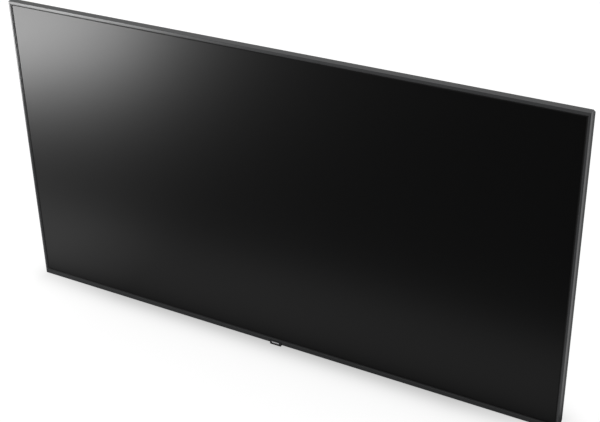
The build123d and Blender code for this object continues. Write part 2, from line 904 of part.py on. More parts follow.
with BuildPart() as source_boards:
    with BuildSketch(level(source_floor)):
        with Locations((-source_middle, source_y), (source_middle, source_y)):
            Rectangle(source_board_length, source_board_rear - source_board_front)
    extrude(amount=source_board_thickness)
keep(source_boards, "source_boards")

film_spread = spread(film_count, source_board_length / film_count)
film_xs = [side * source_middle + x for side in (-1, 1) for x in film_spread]

with BuildPart() as cell_films:
    # bonded to the front ledge of the cell, bent back under the board
    for x in film_xs:
        with BuildSketch(profile_across(x - film_width / 2)):
            with BuildLine():
                FilletPolyline(
                    (deep(cell_front_depth), cell_edge - film_sheet / 2),
                    (deep(sheet_one_depth) + film_bend / 2, cell_edge - film_sheet / 2),
                    (deep(source_board_front) + film_bend, source_floor - film_sheet / 2),
                    (deep(source_board_front) + 4 * film_bend, source_floor - film_sheet / 2),
                    radius=film_bend,
                )
            trace(line_width=film_sheet)
        extrude(amount=film_width)
keep(cell_films, "cell_films")


def corner_places(middle_x, middle_z, width, height):
    """Four fixing points inset from the corners of a board."""
    across = width / 2 - board_edge_inset
    up = height / 2 - board_edge_inset
    corners = [(side_x, side_z) for side_z in (-1, 1) for side_x in (-1, 1)]
    return [(middle_x + side_x * across, middle_z + side_z * up) for side_x, side_z in corners]


main_places = corner_places(signal_bay_x, main_board_z, main_board_width, main_board_height)
power_places = corner_places(mains_bay_x, power_board_z, power_board_width, power_board_height)
timing_places = corner_places(0, timing_board_z, timing_board_width, timing_board_height)


def board(middle_x, middle_z, width, height, places):
    """Bare circuit board with its fixing holes."""
    with BuildPart() as plate:
        with BuildSketch(facing(board_rear_depth)):
            with Locations((middle_x, middle_z)):
                Rectangle(width, height)
            with Locations(*places):
                Circle(standoff_hole_radius, mode=Mode.SUBTRACT)
        extrude(amount=board_thickness)
    return plate


main_board = board(signal_bay_x, main_board_z, main_board_width, main_board_height, main_places)
keep(main_board, "main_board")
power_board = board(mains_bay_x, power_board_z, power_board_width, power_board_height, power_places)
keep(power_board, "power_board")
timing_board = board(0, timing_board_z, timing_board_width, timing_board_height, timing_places)
keep(timing_board, "timing_board")

with BuildPart() as board_standoffs:
    with BuildSketch(facing(board_depth)):
        with Locations(*main_places, *power_places, *timing_places):
            RegularPolygon(standoff_radius, 6)
            Circle(standoff_hole_radius, mode=Mode.SUBTRACT)
    extrude(amount=board_depth - pan_rear_depth)
keep(board_standoffs, "board_standoffs")

with BuildPart() as board_screws:
    with BuildSketch(facing(board_rear_depth)):
        with Locations(*main_places, *power_places, *timing_places):
            Circle(screw_head_radius)
    extrude(amount=-screw_head_height)
    with BuildSketch(facing(board_rear_depth)):
        with Locations(*main_places, *power_places, *timing_places):
            RegularPolygon(standoff_hole_radius - key_play, 8)
    extrude(amount=board_thickness + screw_head_height)
keep(board_screws, "board_screws")

with BuildPart() as cover_screws:
    with BuildSketch(facing(cover_flat_depth - cover_screw_head_depth)):
        with Locations(*cover_screw_places):
            Circle(cover_screw_head_radius - key_play)
    extrude(amount=-screw_head_height)
    with BuildSketch(facing(cover_flat_depth - cover_screw_head_depth)):
        with Locations(*cover_screw_places):
            RegularPolygon(cover_screw_radius - key_play, 8)
    extrude(amount=cover_flat_depth - cover_screw_head_depth - pan_rear_depth)
keep(cover_screws, "cover_screws")

# Parts on the boards

sink_z = main_board_z + main_board_height / 5
sink_left = signal_bay_x - sink_width / 2
sink_pitch = (sink_width - sink_fin_thickness) / (sink_fin_count - 1)

with BuildPart() as processor_sink:
    with BuildSketch(facing(board_rear_depth)):
        with Locations((signal_bay_x, sink_z)):
            Rectangle(sink_width, sink_width)
    extrude(amount=-sink_base)
    with BuildSketch(facing(board_rear_depth + sink_base)):
        for fin in range(sink_fin_count):
            with Locations((sink_left + sink_fin_thickness / 2 + fin * sink_pitch, sink_z)):
                Rectangle(sink_fin_thickness, sink_width)
    extrude(amount=-sink_fin_height)
keep(processor_sink, "processor_sink")

shield_x = signal_bay_x + main_board_width / 2 - shield_size

with BuildPart() as wireless_shield:
    with BuildSketch(facing(board_rear_depth)):
        with Locations((shield_x, sink_z)):
            Rectangle(shield_size, shield_size)
    extrude(amount=-shield_height)
    with BuildSketch(facing(board_rear_depth)):
        with Locations((shield_x, sink_z)):
            Rectangle(shield_size - 2 * shield_wall, shield_size - 2 * shield_wall)
    extrude(amount=-(shield_height - shield_wall), mode=Mode.SUBTRACT)
keep(wireless_shield, "wireless_shield")

capacitor_row_x = mains_bay_x - power_board_width / 2 + capacitor_inset
capacitor_row_z = power_board_z + power_board_height / 4

with BuildPart() as power_transformers:
    with BuildSketch(facing(board_rear_depth)):
        with Locations((mains_bay_x, power_board_z), (mains_bay_x - transformer_pitch, power_board_z)):
            Rectangle(transformer_size, transformer_depth)
    extrude(amount=-transformer_height)
    with BuildSketch(facing(board_rear_depth)):
        with Locations((mains_bay_x + transformer_pitch, power_board_z)):
            Rectangle(choke_size, choke_size)
    extrude(amount=-choke_height)
    upright_edges = power_transformers.edges().filter_by(Axis.Y)
    fillet(upright_edges, winding_corner)
keep(power_transformers, "power_transformers")

with BuildPart() as power_capacitors:
    with BuildSketch(facing(board_rear_depth)):
        for can in range(capacitor_count):
            with Locations((capacitor_row_x + can * capacitor_pitch, capacitor_row_z)):
                Circle(capacitor_radius)
    extrude(amount=-capacitor_height)
keep(power_capacitors, "power_capacitors")

# Sockets on the lower edge of the main board, facing down into the signal bay


def socket_places(xs, size):
    """Centres of a kind of socket, standing on the rear of the main board."""
    return [(x, deep(board_rear_depth) + size[1] / 2) for x in xs]


def sockets(xs, size, hole, tongue):
    """Metal shells with a blind mouth at their lower end and a contact tongue in it."""
    places = socket_places(xs, size)
    with BuildPart() as shells:
        with BuildSketch(level(nose_z)):
            with Locations(*places):
                Rectangle(*size)
        extrude(amount=socket_length)
        with BuildSketch(level(nose_z)):
            with Locations(*places):
                Rectangle(*hole)
        extrude(amount=socket_length - socket_floor, mode=Mode.SUBTRACT)
        if tongue:
            with BuildSketch(level(nose_z + 2 * nose)):
                with Locations(*places):
                    Rectangle(hole[0] - 4 * tongue_thickness, tongue_thickness)
            extrude(amount=socket_length - socket_floor - 2 * nose)
    return shells


hdmi_sockets = sockets(hdmi_xs, hdmi_size, hdmi_hole, True)
keep(hdmi_sockets, "hdmi_sockets")
displayport_socket = sockets(displayport_xs, displayport_size, displayport_hole, True)
keep(displayport_socket, "displayport_socket")
usb_sockets = sockets(usb_xs, usb_size, usb_hole, True)
keep(usb_sockets, "usb_sockets")
lan_socket = sockets(lan_xs, lan_size, lan_hole, False)
keep(lan_socket, "lan_socket")

jack_places = socket_places(jack_xs, jack_size)

with BuildPart() as jack_sockets:
    with BuildSketch(level(nose_z)):
        with Locations(*jack_places):
            Rectangle(*jack_size)
    extrude(amount=socket_length)
    with BuildSketch(level(nose_z)):
        with Locations(*jack_places):
            Circle(jack_radius)
    extrude(amount=socket_length - socket_floor, mode=Mode.SUBTRACT)
keep(jack_sockets, "jack_sockets")

with BuildPart() as connector_plate:
    with BuildSketch(level(panel_z)):
        with Locations((signal_bay_x, signal_window_y)):
            Rectangle(signal_window[0] + 2 * plate_overlap_x, signal_window[1] + 2 * plate_overlap_y)
        for xs, size in all_sockets:
            with Locations(*socket_places(xs, size)):
                Rectangle(size[0] + 2 * panel_play, size[1] + 2 * panel_play, mode=Mode.SUBTRACT)
    extrude(amount=panel_sheet)
keep(connector_plate, "connector_plate")

# Mains inlet and rocker switch in the ceiling of the mains bay

inlet_outside = bay_ceiling_z - inlet_flange
inlet_cavity = (inlet_width - 2 * inlet_wall, inlet_height - 2 * inlet_wall)

with BuildPart() as mains_inlet:
    with BuildSketch(level(inlet_outside)):
        with Locations((inlet_x, mains_window_y)):
            SlotOverall(inlet_flange_width, inlet_height + inlet_wall)
    extrude(amount=inlet_flange)
    with BuildSketch(level(inlet_outside)):
        with Locations((inlet_x, mains_window_y)):
            Rectangle(inlet_width, inlet_height)
    extrude(amount=inlet_depth + inlet_wall)
    with BuildSketch(level(inlet_outside)) as mouth:
        with Locations((inlet_x, mains_window_y)):
            Rectangle(*inlet_cavity)
        rear_corners = mouth.vertices().group_by(Axis.Y)[-1]
        chamfer(rear_corners, 3 * inlet_wall)
    extrude(amount=inlet_depth, mode=Mode.SUBTRACT)
    # three contact blades
    with BuildSketch(level(inlet_outside + inlet_depth - inlet_pin_length)):
        for step, shift in ((-1, -1), (0, 1), (1, -1)):
            blade = (inlet_x + step * inlet_pin_spacing, mains_window_y + shift * inlet_pin_thickness)
            with Locations(blade):
                Rectangle(inlet_pin_thickness, inlet_pin_width)
    extrude(amount=inlet_pin_length)
keep(mains_inlet, "mains_inlet")

rocker_pivot_z = bay_ceiling_z + cover_wall / 2
rocker_half = rocker_width / 2 - rocker_wall
rocker_key_width = rocker_height - 2 * (rocker_wall + rocker_play)

with BuildPart() as rocker_frame:
    with BuildSketch(level(inlet_outside)):
        with Locations((rocker_x, mains_window_y)):
            Rectangle(rocker_width + inlet_flange, rocker_height + inlet_flange)
    extrude(amount=inlet_flange)
    with BuildSketch(level(inlet_outside)):
        with Locations((rocker_x, mains_window_y)):
            Rectangle(rocker_width, rocker_height)
    extrude(amount=rocker_depth + rocker_wall)
    with BuildSketch(level(inlet_outside)):
        with Locations((rocker_x, mains_window_y)):
            Rectangle(rocker_width - 2 * rocker_wall, rocker_height - 2 * rocker_wall)
    extrude(amount=rocker_depth, mode=Mode.SUBTRACT)
    with BuildSketch(Plane.XZ.offset(-mains_window_y)):
        with Locations((rocker_x, rocker_pivot_z)):
            Circle(rocker_pin_radius + rocker_pin_play)
    extrude(amount=rocker_height / 2, both=True, mode=Mode.SUBTRACT)
keep(rocker_frame, "rocker_frame")

rocker_reach = rocker_half - 2.5 * rocker_play
tilted = Plane(
    origin=(rocker_x, mains_window_y, rocker_pivot_z),
    x_dir=Vector(1, 0, 0).rotate(Axis.Y, rocker_tilt),
    z_dir=(0, -1, 0),
)

with BuildPart() as rocker_key:
    with BuildSketch(tilted):
        with BuildLine():
            Polyline(
                (-rocker_reach, -rocker_nose),
                (0, -rocker_waist),
                (rocker_reach, -rocker_nose),
                (rocker_reach, -rocker_shoulder),
                (rocker_reach / 3, rocker_back),
                (-rocker_reach / 3, rocker_back),
                (-rocker_reach, -rocker_shoulder),
                close=True,
            )
        make_face()
    extrude(amount=rocker_key_width / 2, both=True)
    with BuildSketch(tilted):
        Circle(rocker_pin_radius)
    extrude(amount=rocker_key_width / 2 + rocker_play + rocker_wall * 0.75, both=True)
keep(rocker_key, "rocker_key")

# Speakers behind the lower edge, firing down through the cover's grilles

speaker_front = pan_rear_depth + pan_flange_gap
speaker_floor = risen(speaker_rise)
speaker_y = deep(speaker_front) + speaker_depth / 2
speaker_places = [(-speaker_x, speaker_y), (speaker_x, speaker_y)]

with BuildPart() as speaker_boxes:
    with BuildSketch(level(speaker_floor)):
        with Locations(*speaker_places):
            Rectangle(speaker_length, speaker_depth)
    extrude(amount=speaker_height)
    fillet(speaker_boxes.edges().filter_by(Axis.Z), speaker_wall)
    with BuildSketch(level(speaker_floor)):
        with Locations(*speaker_places):
            SlotOverall(driver_length + 2 * panel_play, driver_width + 2 * panel_play)
    extrude(amount=driver_height, mode=Mode.SUBTRACT)
keep(speaker_boxes, "speaker_boxes")

with BuildPart() as speaker_drivers:
    with BuildSketch(level(speaker_floor)):
        with Locations(*speaker_places):
            SlotOverall(driver_length, driver_width)
    extrude(amount=driver_height)
    with BuildSketch(level(speaker_floor)):
        with Locations(*speaker_places):
            SlotOverall(driver_length - 2 * driver_rim, driver_width - 2 * driver_rim)
    extrude(amount=driver_dish, taper=30, mode=Mode.SUBTRACT)
keep(speaker_drivers, "speaker_drivers")

# Sensor tab at the middle of the lower edge

tab_floor = risen(tab_bottom_rise)
tab_front = deep(tab_front_depth)
tab_cavity_floor = tab_floor + tab_wall
tab_board_z = risen(tab_board_rise)
tab_post_x = tab_slot_width / 2 - tab_post
jog_y = deep(jog_depth)
sensor_x = jog_base_size / 2 + sensor_gap
sensor_y = deep(tab_slot_front) + sensor_size / 2 + guide_play
window_places = (0, risen(window_rise))
inlay_places = (0, risen(inlay_rise))

with BuildPart() as tab_housing:
    with BuildSketch(profile_across(-tab_width / 2)):
        with BuildLine():
            Polyline(
                (tab_front, tab_floor),
                (deep(tab_depth), tab_floor),
                (deep(tab_depth), bottom_z),
                (front_y, bottom_z),
                (front_y, risen(tab_rise)),
                (tab_front, risen(tab_rise)),
                close=True,
            )
        make_face()
    extrude(amount=tab_width)
    lower_side_edges = tab_housing.edges().filter_by(Axis.Y).group_by(Axis.Z)[0]
    fillet(lower_side_edges, tab_corner)
    # room for the sensor board and the jog key
    with BuildSketch(level(tab_cavity_floor)):
        with Locations((0, deep(tab_depth / 2))):
            Rectangle(tab_width - 2 * (tab_wall + tab_corner / 2), tab_depth - 2 * tab_wall)
    extrude(amount=tab_drop, mode=Mode.SUBTRACT)
    # posts that carry the sensor board
    with BuildSketch(level(tab_cavity_floor)):
        with Locations((-tab_post_x, jog_y), (tab_post_x, jog_y)):
            Rectangle(tab_post, tab_post_length)
    extrude(amount=tab_board_z - tab_cavity_floor)
    # hole round the jog key
    with BuildSketch(level(tab_floor)):
        with Locations((0, jog_y)):
            Circle(jog_knob_radius + jog_hole_play)
    extrude(amount=tab_wall, mode=Mode.SUBTRACT)
    # recesses for the window and the inlay
    with BuildSketch(facing(tab_front_depth + window_thickness)):
        with Locations(window_places):
            Rectangle(window_width, window_height)
    extrude(amount=window_thickness, mode=Mode.SUBTRACT)
    with BuildSketch(facing(tab_front_depth + inlay_thickness)):
        with Locations(inlay_places):
            Rectangle(inlay_width, inlay_height)
    extrude(amount=inlay_thickness, mode=Mode.SUBTRACT)
    # light paths from the window to the sensors
    with BuildSketch(facing(tab_wall)):
        with Locations((-sensor_x, risen(window_rise)), (sensor_x, risen(window_rise))):
            Rectangle(sensor_size - 2 * light_path_inset, window_height / 2)
    extrude(amount=tab_plate + tab_wall, mode=Mode.SUBTRACT)
keep(tab_housing, "tab_housing")

with BuildPart() as sensor_window:
    with BuildSketch(facing(tab_front_depth + window_thickness)):
        with Locations(window_places):
            Rectangle(window_width - 2 * stack_play, window_height - 2 * stack_play)
    extrude(amount=window_thickness)
keep(sensor_window, "sensor_window")

with BuildPart() as tab_inlay:
    with BuildSketch(facing(tab_front_depth + inlay_thickness)):
        with Locations(inlay_places):
            RectangleRounded(inlay_width - 2 * stack_play, inlay_height - 2 * stack_play, inlay_height / 8)
    extrude(amount=inlay_thickness + 2 * stack_play)
keep(tab_inlay, "tab_inlay")

with BuildPart() as sensor_board:
    with BuildSketch(level(tab_board_z)):
        with Locations((0, deep(tab_slot_front + tab_slot_depth / 2))):
            Rectangle(tab_slot_width - 2 * guide_play, tab_slot_depth - 2 * guide_play)
    extrude(amount=tab_board_thickness)
keep(sensor_board, "sensor_board")

with BuildPart() as remote_sensor:
    with BuildSketch(level(tab_board_z - sensor_height)):
        with Locations((-sensor_x, sensor_y)):
            Rectangle(sensor_size, sensor_size)
    extrude(amount=sensor_height)
    fillet(remote_sensor.edges().filter_by(Axis.Z).group_by(Axis.Y)[0], sensor_size / 3)
keep(remote_sensor, "remote_sensor")

with BuildPart() as status_light:
    with BuildSketch(level(tab_board_z - sensor_height)):
        with Locations((sensor_x, sensor_y)):
            Circle(sensor_size / 2)
    extrude(amount=sensor_height)
keep(status_light, "status_light")

# Jog key: base, gimbal ring, stick and knob

jog_pivot_z = risen(jog_pivot_rise)
jog_base_top = tab_board_z
jog_base_bottom = jog_base_top - jog_base_height
jog_cavity = jog_base_size - 2 * jog_base_wall
jog_knob_bottom = tab_floor - jog_knob_proud
jog_stem_bottom = jog_knob_bottom + jog_knob_height
pivot_side = Plane(origin=(0, jog_y, jog_pivot_z), x_dir=(0, 1, 0), z_dir=(1, 0, 0))
pivot_front = Plane(origin=(0, jog_y, jog_pivot_z), x_dir=(1, 0, 0), z_dir=(0, -1, 0))

with BuildPart() as jog_base:
    with BuildSketch(level(jog_base_bottom)):
        with Locations((0, jog_y)):
            Rectangle(jog_base_size, jog_base_size)
    extrude(amount=jog_base_height)
    with BuildSketch(level(jog_base_bottom)):
        with Locations((0, jog_y)):
            Rectangle(jog_cavity, jog_cavity)
    extrude(amount=jog_base_height - jog_base_roof, mode=Mode.SUBTRACT)
    with BuildSketch(pivot_side):
        Circle(jog_pin_radius + jog_pin_play)
    extrude(amount=jog_base_size / 2, both=True, mode=Mode.SUBTRACT)
keep(jog_base, "jog_base")

with BuildPart() as jog_ring:
    with BuildSketch(level(jog_pivot_z - jog_ring_height / 2)):
        with Locations((0, jog_y)):
            Circle(jog_ring_radius)
    extrude(amount=jog_ring_height)
    with BuildSketch(pivot_side):
        Circle(jog_pin_radius)
    extrude(amount=jog_ring_pin_reach, both=True)
    with BuildSketch(level(jog_pivot_z - jog_ring_height / 2)):
        with Locations((0, jog_y)):
            Circle(jog_ring_bore)
    extrude(amount=jog_ring_height, mode=Mode.SUBTRACT)
    with BuildSketch(pivot_front):
        Circle(jog_pin_radius + jog_pin_play)
    extrude(amount=jog_ring_radius, both=True, mode=Mode.SUBTRACT)
keep(jog_ring, "jog_ring")

with BuildPart() as jog_stick:
    with BuildSketch(level(jog_pivot_z - jog_ring_height / 2)):
        with Locations((0, jog_y)):
            Circle(jog_barrel_radius)
    extrude(amount=jog_ring_height)
    with BuildSketch(pivot_front):
        Circle(jog_pin_radius)
    extrude(amount=jog_barrel_pin_reach, both=True)
    with BuildSketch(level(jog_pivot_z - jog_ring_height / 2)):
        with Locations((0, jog_y)):
            Circle(jog_shaft_radius)
    extrude(amount=-jog_shaft_length)
keep(jog_stick, "jog_stick")

with BuildPart() as jog_knob:
    with BuildSketch(level(jog_knob_bottom)):
        with Locations((0, jog_y)):
            Circle(jog_knob_radius)
    extrude(amount=jog_knob_height)
    rim = jog_knob.edges().filter_by(GeomType.CIRCLE).group_by(Axis.Z)[0]
    fillet(rim, jog_knob_height / 3)
    with BuildSketch(level(jog_stem_bottom)):
        with Locations((0, jog_y)):
            Circle(jog_knob_stem_radius)
    extrude(amount=jog_knob_stem_height)
    with BuildSketch(level(jog_knob_bottom + jog_knob_floor)):
        with Locations((0, jog_y)):
            Circle(jog_shaft_radius + jog_shaft_play)
    extrude(amount=jog_knob_height + jog_knob_stem_height, mode=Mode.SUBTRACT)
keep(jog_knob, "jog_knob")

# Ribbons from the timing board to the source boards

ribbon_x = source_board_gap / 2 + ribbon_width / 2 + ribbon_inset
ribbon_foot = source_floor + source_board_thickness / 2
timing_bottom = timing_board_z - timing_board_height / 2

with BuildPart() as timing_ribbons:
    # from the lower edge of the timing board down behind the pan
    for x in (-ribbon_x, ribbon_x):
        with BuildSketch(profile_across(x - ribbon_width / 2)):
            with BuildLine():
                FilletPolyline(
                    (deep(board_depth + board_thickness / 2), timing_bottom),
                    (deep(board_depth + board_thickness / 2), timing_bottom - 2 * ribbon_bend),
                    (deep(ribbon_depth), timing_bottom - 6 * ribbon_bend),
                    (deep(ribbon_depth), ribbon_foot),
                    (deep(source_board_rear), ribbon_foot),
                    radius=ribbon_bend,
                )
            trace(line_width=ribbon_sheet)
        extrude(amount=ribbon_width)
keep(timing_ribbons, "timing_ribbons")

# Round leads between the pan and the rear cover


def lead(points, bends, radius):
    """Round lead along straight runs joined by tangent arcs."""
    with BuildPart() as tube:
        with BuildLine() as route:
            FilletPolyline(*points, radius=bends)
        start = route.line @ 0
        heading = route.line % 0
        with BuildSketch(Plane(origin=start, z_dir=heading)):
            Circle(radius)
        sweep(path=route.line)
    return tube


board_front = deep(board_depth)
lead_y = deep(lead_depth)
tab_exit_x = tab_slot_width / 3
tab_exit_y = deep(tab_slot_front + tab_slot_depth - lead_elbow)
tab_exit_z = risen(tab_board_rise + tab_board_thickness + lead_elbow)
left_lead_x = signal_bay_x - main_board_width / 2 + lead_inset
tab_lead_x = left_lead_x + lead_spacing
right_lead_x = signal_bay_x + main_board_width / 2 - lead_inset
lead_entry_z = bay_ceiling_z + lead_entry_rise
crossing_z = risen(lead_crossing_rise)
speaker_top = speaker_floor + speaker_height
speaker_lead_x = speaker_x - driver_width
dogleg_run = speaker_lead_x - right_lead_x
dogleg_z = speaker_top + lead_bend

tab_lead = lead(
    [
        (tab_exit_x, tab_exit_y, tab_board_z + tab_board_thickness),
        (tab_exit_x, tab_exit_y, tab_exit_z),
        (tab_exit_x, lead_y, tab_exit_z),
        (tab_exit_x, lead_y, crossing_z),
        (tab_lead_x, lead_y, crossing_z),
        (tab_lead_x, lead_y, lead_entry_z),
        (tab_lead_x, board_front, lead_entry_z),
    ],
    [lead_elbow - stack_play, lead_elbow, lead_bend, lead_bend, lead_entry],
    lead_radius,
)
keep(tab_lead, "tab_lead")

speaker_lead_right = lead(
    [
        (right_lead_x, board_front, lead_entry_z),
        (right_lead_x, lead_y, lead_entry_z),
        (right_lead_x, lead_y, dogleg_z + dogleg_run),
        (speaker_lead_x, lead_y, dogleg_z),
        (speaker_lead_x, lead_y, speaker_top),
    ],
    [lead_entry, lead_bend, lead_bend],
    lead_radius,
)

speaker_lead_left = lead(
    [
        (left_lead_x, board_front, lead_entry_z),
        (left_lead_x, lead_y, lead_entry_z),
        (left_lead_x, lead_y, crossing_z + lead_inset),
        (-speaker_lead_x, lead_y, crossing_z + lead_inset),
        (-speaker_lead_x, lead_y, speaker_top),
    ],
    [lead_entry, lead_corner, lead_bend],
    lead_radius,
)

with BuildPart() as speaker_leads:
    add(speaker_lead_right.part)
    add(speaker_lead_left.part)
keep(speaker_leads, "speaker_leads")

power_lead_end = signal_bay_x - main_board_width / 2 + power_lead_inset
power_lead_z = timing_board_z + timing_board_height / 2 + power_lead_rise
over_hats = deep(hat_rear_depth + power_lead_radius + pan_flange_gap)

power_lead = lead(
    [
        (-power_lead_end, deep(board_rear_depth), power_lead_z),
        (-power_lead_end, over_hats, power_lead_z),
        (power_lead_end, over_hats, power_lead_z),
        (power_lead_end, deep(board_rear_depth), power_lead_z),
    ],
    [power_lead_bend, power_lead_bend],
    power_lead_radius,
)
keep(power_lead, "power_lead")

# Feed of the light bars

with BuildPart() as bar_links:
    # jumpers from bar to bar on the floor of the pan
    with BuildSketch(facing(pan_floor_depth)):
        for z in bar_zs[:-1]:
            with Locations((-bar_length / 2 + bar_width, z + bar_pitch / 2)):
                Rectangle(link_width, bar_pitch - bar_width)
    extrude(amount=link_thickness)
keep(bar_links, "bar_links")

with BuildPart() as led_header:
    # plug from the power board through the pan to the nearest bar
    with BuildSketch(facing(pan_floor_depth)):
        with Locations((mains_bay_x, header_z)):
            Rectangle(*header_size)
    extrude(amount=-(board_depth - pan_floor_depth))
keep(led_header, "led_header")
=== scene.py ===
"""Looks of a large wall-mounted signage display: its finishes, small fittings, light and camera."""
import math

import bmesh
import bpy
from mathutils import Matrix, Vector


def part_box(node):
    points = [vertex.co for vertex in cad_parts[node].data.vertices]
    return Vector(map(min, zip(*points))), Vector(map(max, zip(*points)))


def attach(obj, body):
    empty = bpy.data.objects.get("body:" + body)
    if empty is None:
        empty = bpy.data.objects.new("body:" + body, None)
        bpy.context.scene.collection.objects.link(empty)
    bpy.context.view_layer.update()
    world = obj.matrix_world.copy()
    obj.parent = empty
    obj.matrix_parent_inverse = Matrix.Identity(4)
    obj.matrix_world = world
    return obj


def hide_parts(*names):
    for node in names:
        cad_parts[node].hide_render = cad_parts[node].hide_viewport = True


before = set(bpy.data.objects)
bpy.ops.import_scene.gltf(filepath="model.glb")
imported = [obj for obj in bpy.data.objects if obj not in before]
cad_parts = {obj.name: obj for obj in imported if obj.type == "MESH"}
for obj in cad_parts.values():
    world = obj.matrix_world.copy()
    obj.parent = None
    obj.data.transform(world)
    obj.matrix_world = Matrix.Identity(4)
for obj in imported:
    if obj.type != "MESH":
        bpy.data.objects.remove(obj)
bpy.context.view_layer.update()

MM = 0.001
MICRON = 0.001 * MM

LIP_SIDE = 5.6 * MM
LIP_TOP = 8.6 * MM
LIP_BOTTOM = 14.6 * MM
SATIN_BAND = 1.9 * MM
BORDER = 7.0 * MM
HALF_WIDTH = 0.84
FLOOR_Z = -0.4846
LEFT_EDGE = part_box("frame_rail_left")[0][0]
LOW_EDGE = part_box("frame_rail_bottom")[0][2]
HIGH_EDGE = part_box("frame_rail_top")[1][2]


# Finishes: each is a graph of nodes on Object coordinates

def start_finish(name, metallic=0.0, ior=1.5, level=0.5, transmission=0.0):
    """New material with its graph and its one shader, and the values that are the same all over it."""
    finish = bpy.data.materials.new(name)
    finish.use_nodes = True
    graph = finish.node_tree
    shader = graph.nodes["Principled BSDF"]
    shader.inputs["Metallic"].default_value = metallic
    shader.inputs["IOR"].default_value = ior
    shader.inputs["Specular IOR Level"].default_value = level
    shader.inputs["Transmission Weight"].default_value = transmission
    return finish, graph, shader


def place(graph, scale=(1, 1, 1)):
    """Object coordinates, stretched to run a grain along the piece."""
    coords = graph.nodes.new("ShaderNodeTexCoord")
    mapping = graph.nodes.new("ShaderNodeMapping")
    mapping.inputs["Scale"].default_value = scale
    graph.links.new(coords.outputs["Object"], mapping.inputs["Vector"])
    return mapping.outputs["Vector"]


def grain(graph, where, scale, detail=4.0, rough=0.55):
    """Soft irregular pattern between 0 and 1."""
    noise = graph.nodes.new("ShaderNodeTexNoise")
    noise.inputs["Scale"].default_value = scale
    noise.inputs["Detail"].default_value = detail
    noise.inputs["Roughness"].default_value = rough
    graph.links.new(where, noise.inputs["Vector"])
    return noise.outputs["Fac"]


def cells(graph, where, scale):
    """Cells of a moulded, tinned or spangled surface."""
    texture = graph.nodes.new("ShaderNodeTexVoronoi")
    texture.inputs["Scale"].default_value = scale
    graph.links.new(where, texture.inputs["Vector"])
    return texture


def spread(graph, value, low, high, start=0.3, end=0.7):
    """Stretch a pattern onto a range of values."""
    ranger = graph.nodes.new("ShaderNodeMapRange")
    ranger.inputs["From Min"].default_value = start
    ranger.inputs["From Max"].default_value = end
    ranger.inputs["To Min"].default_value = low
    ranger.inputs["To Max"].default_value = high
    graph.links.new(value, ranger.inputs["Value"])
    return ranger.outputs["Result"]


def tint(graph, value, dark, pale, start=0.3, end=0.7):
    """Turn a pattern into a colour between two tones."""
    ramp = graph.nodes.new("ShaderNodeValToRGB")
    ramp.color_ramp.elements[0].position = start
    ramp.color_ramp.elements[0].color = (*dark, 1)
    ramp.color_ramp.elements[1].position = end
    ramp.color_ramp.elements[1].color = (*pale, 1)
    graph.links.new(value, ramp.inputs["Fac"])
    return ramp.outputs["Color"]


def mix_colour(graph, factor, first, second):
    """Second colour over the first where the factor is 1."""
    mixer = graph.nodes.new("ShaderNodeMix")
    mixer.data_type = "RGBA"
    graph.links.new(factor, mixer.inputs["Factor"])
    for value, socket in ((first, mixer.inputs[6]), (second, mixer.inputs[7])):
        if isinstance(value, tuple):
            socket.default_value = (*value, 1)
        else:
            graph.links.new(value, socket)
    return mixer.outputs[2]


def compute(graph, operation, first, second=0.5):
    """One step of arithmetic on patterns or numbers."""
    step = graph.nodes.new("ShaderNodeMath")
    step.operation = operation
    for value, socket in zip((first, second), step.inputs):
        if isinstance(value, (int, float)):
            socket.default_value = value
        else:
            graph.links.new(value, socket)
    return step.outputs["Value"]


def blend(graph, first, second, share):
    """Two patterns in one, the first with the given share."""
    weighted = compute(graph, "MULTIPLY", first, share)
    return compute(graph, "ADD", weighted, compute(graph, "MULTIPLY", second, 1 - share))


def axes_of(graph, where):
    """The three coordinates of a place."""
    axes = graph.nodes.new("ShaderNodeSeparateXYZ")
    graph.links.new(where, axes.inputs["Vector"])
    return axes.outputs["X"], axes.outputs["Y"], axes.outputs["Z"]


def dress(graph, shader, colour, rough, height, strength, depth):
    """Wire a colour, a roughness and a fine relief into the shader."""
    graph.links.new(colour, shader.inputs["Base Color"])
    graph.links.new(rough, shader.inputs["Roughness"])
    bump = graph.nodes.new("ShaderNodeBump")
    bump.inputs["Strength"].default_value = strength
    bump.inputs["Distance"].default_value = depth
    graph.links.new(height, bump.inputs["Height"])
    graph.links.new(bump.outputs["Normal"], shader.inputs["Normal"])


def charcoal_rail(name, along, dark, pale, ior=1.6):
    """Satin charcoal coat on an extrusion, with a faint grain along the rail."""
    finish, graph, shader = start_finish(name, ior=ior)
    where = place(graph)
    lines = grain(graph, place(graph, along), scale=900, detail=3, rough=0.6)
    shade = blend(graph, lines, grain(graph, where, scale=9, detail=3, rough=0.5), share=0.6)
    speckle = grain(graph, where, scale=2600, detail=2, rough=0.5)
    colour, rough = tint(graph, shade, dark, pale), spread(graph, shade, 0.31, 0.37)
    relief = compute(graph, "ADD", lines, speckle)
    dress(graph, shader, colour, rough, relief, strength=0.12, depth=20 * MICRON)
    return finish


def outside_of(graph, inset):
    """One in the border that reaches inwards from the rails' lips by the inset, nothing inside it."""
    half_width = -LEFT_EDGE - LIP_SIDE - inset
    low, high = LOW_EDGE + LIP_BOTTOM + inset, HIGH_EDGE - LIP_TOP - inset
    half_height, middle_z = (high - low) / 2, (high + low) / 2
    blur = 0.1 * MM
    x, _, z = axes_of(graph, place(graph))
    across = compute(graph, "ABSOLUTE", x)
    up = compute(graph, "ABSOLUTE", compute(graph, "SUBTRACT", z, middle_z))
    beyond_side = spread(graph, across, 0, 1, start=half_width - blur, end=half_width + blur)
    beyond_end = spread(graph, up, 0, 1, start=half_height - blur, end=half_height + blur)
    return compute(graph, "MAXIMUM", beyond_side, beyond_end)


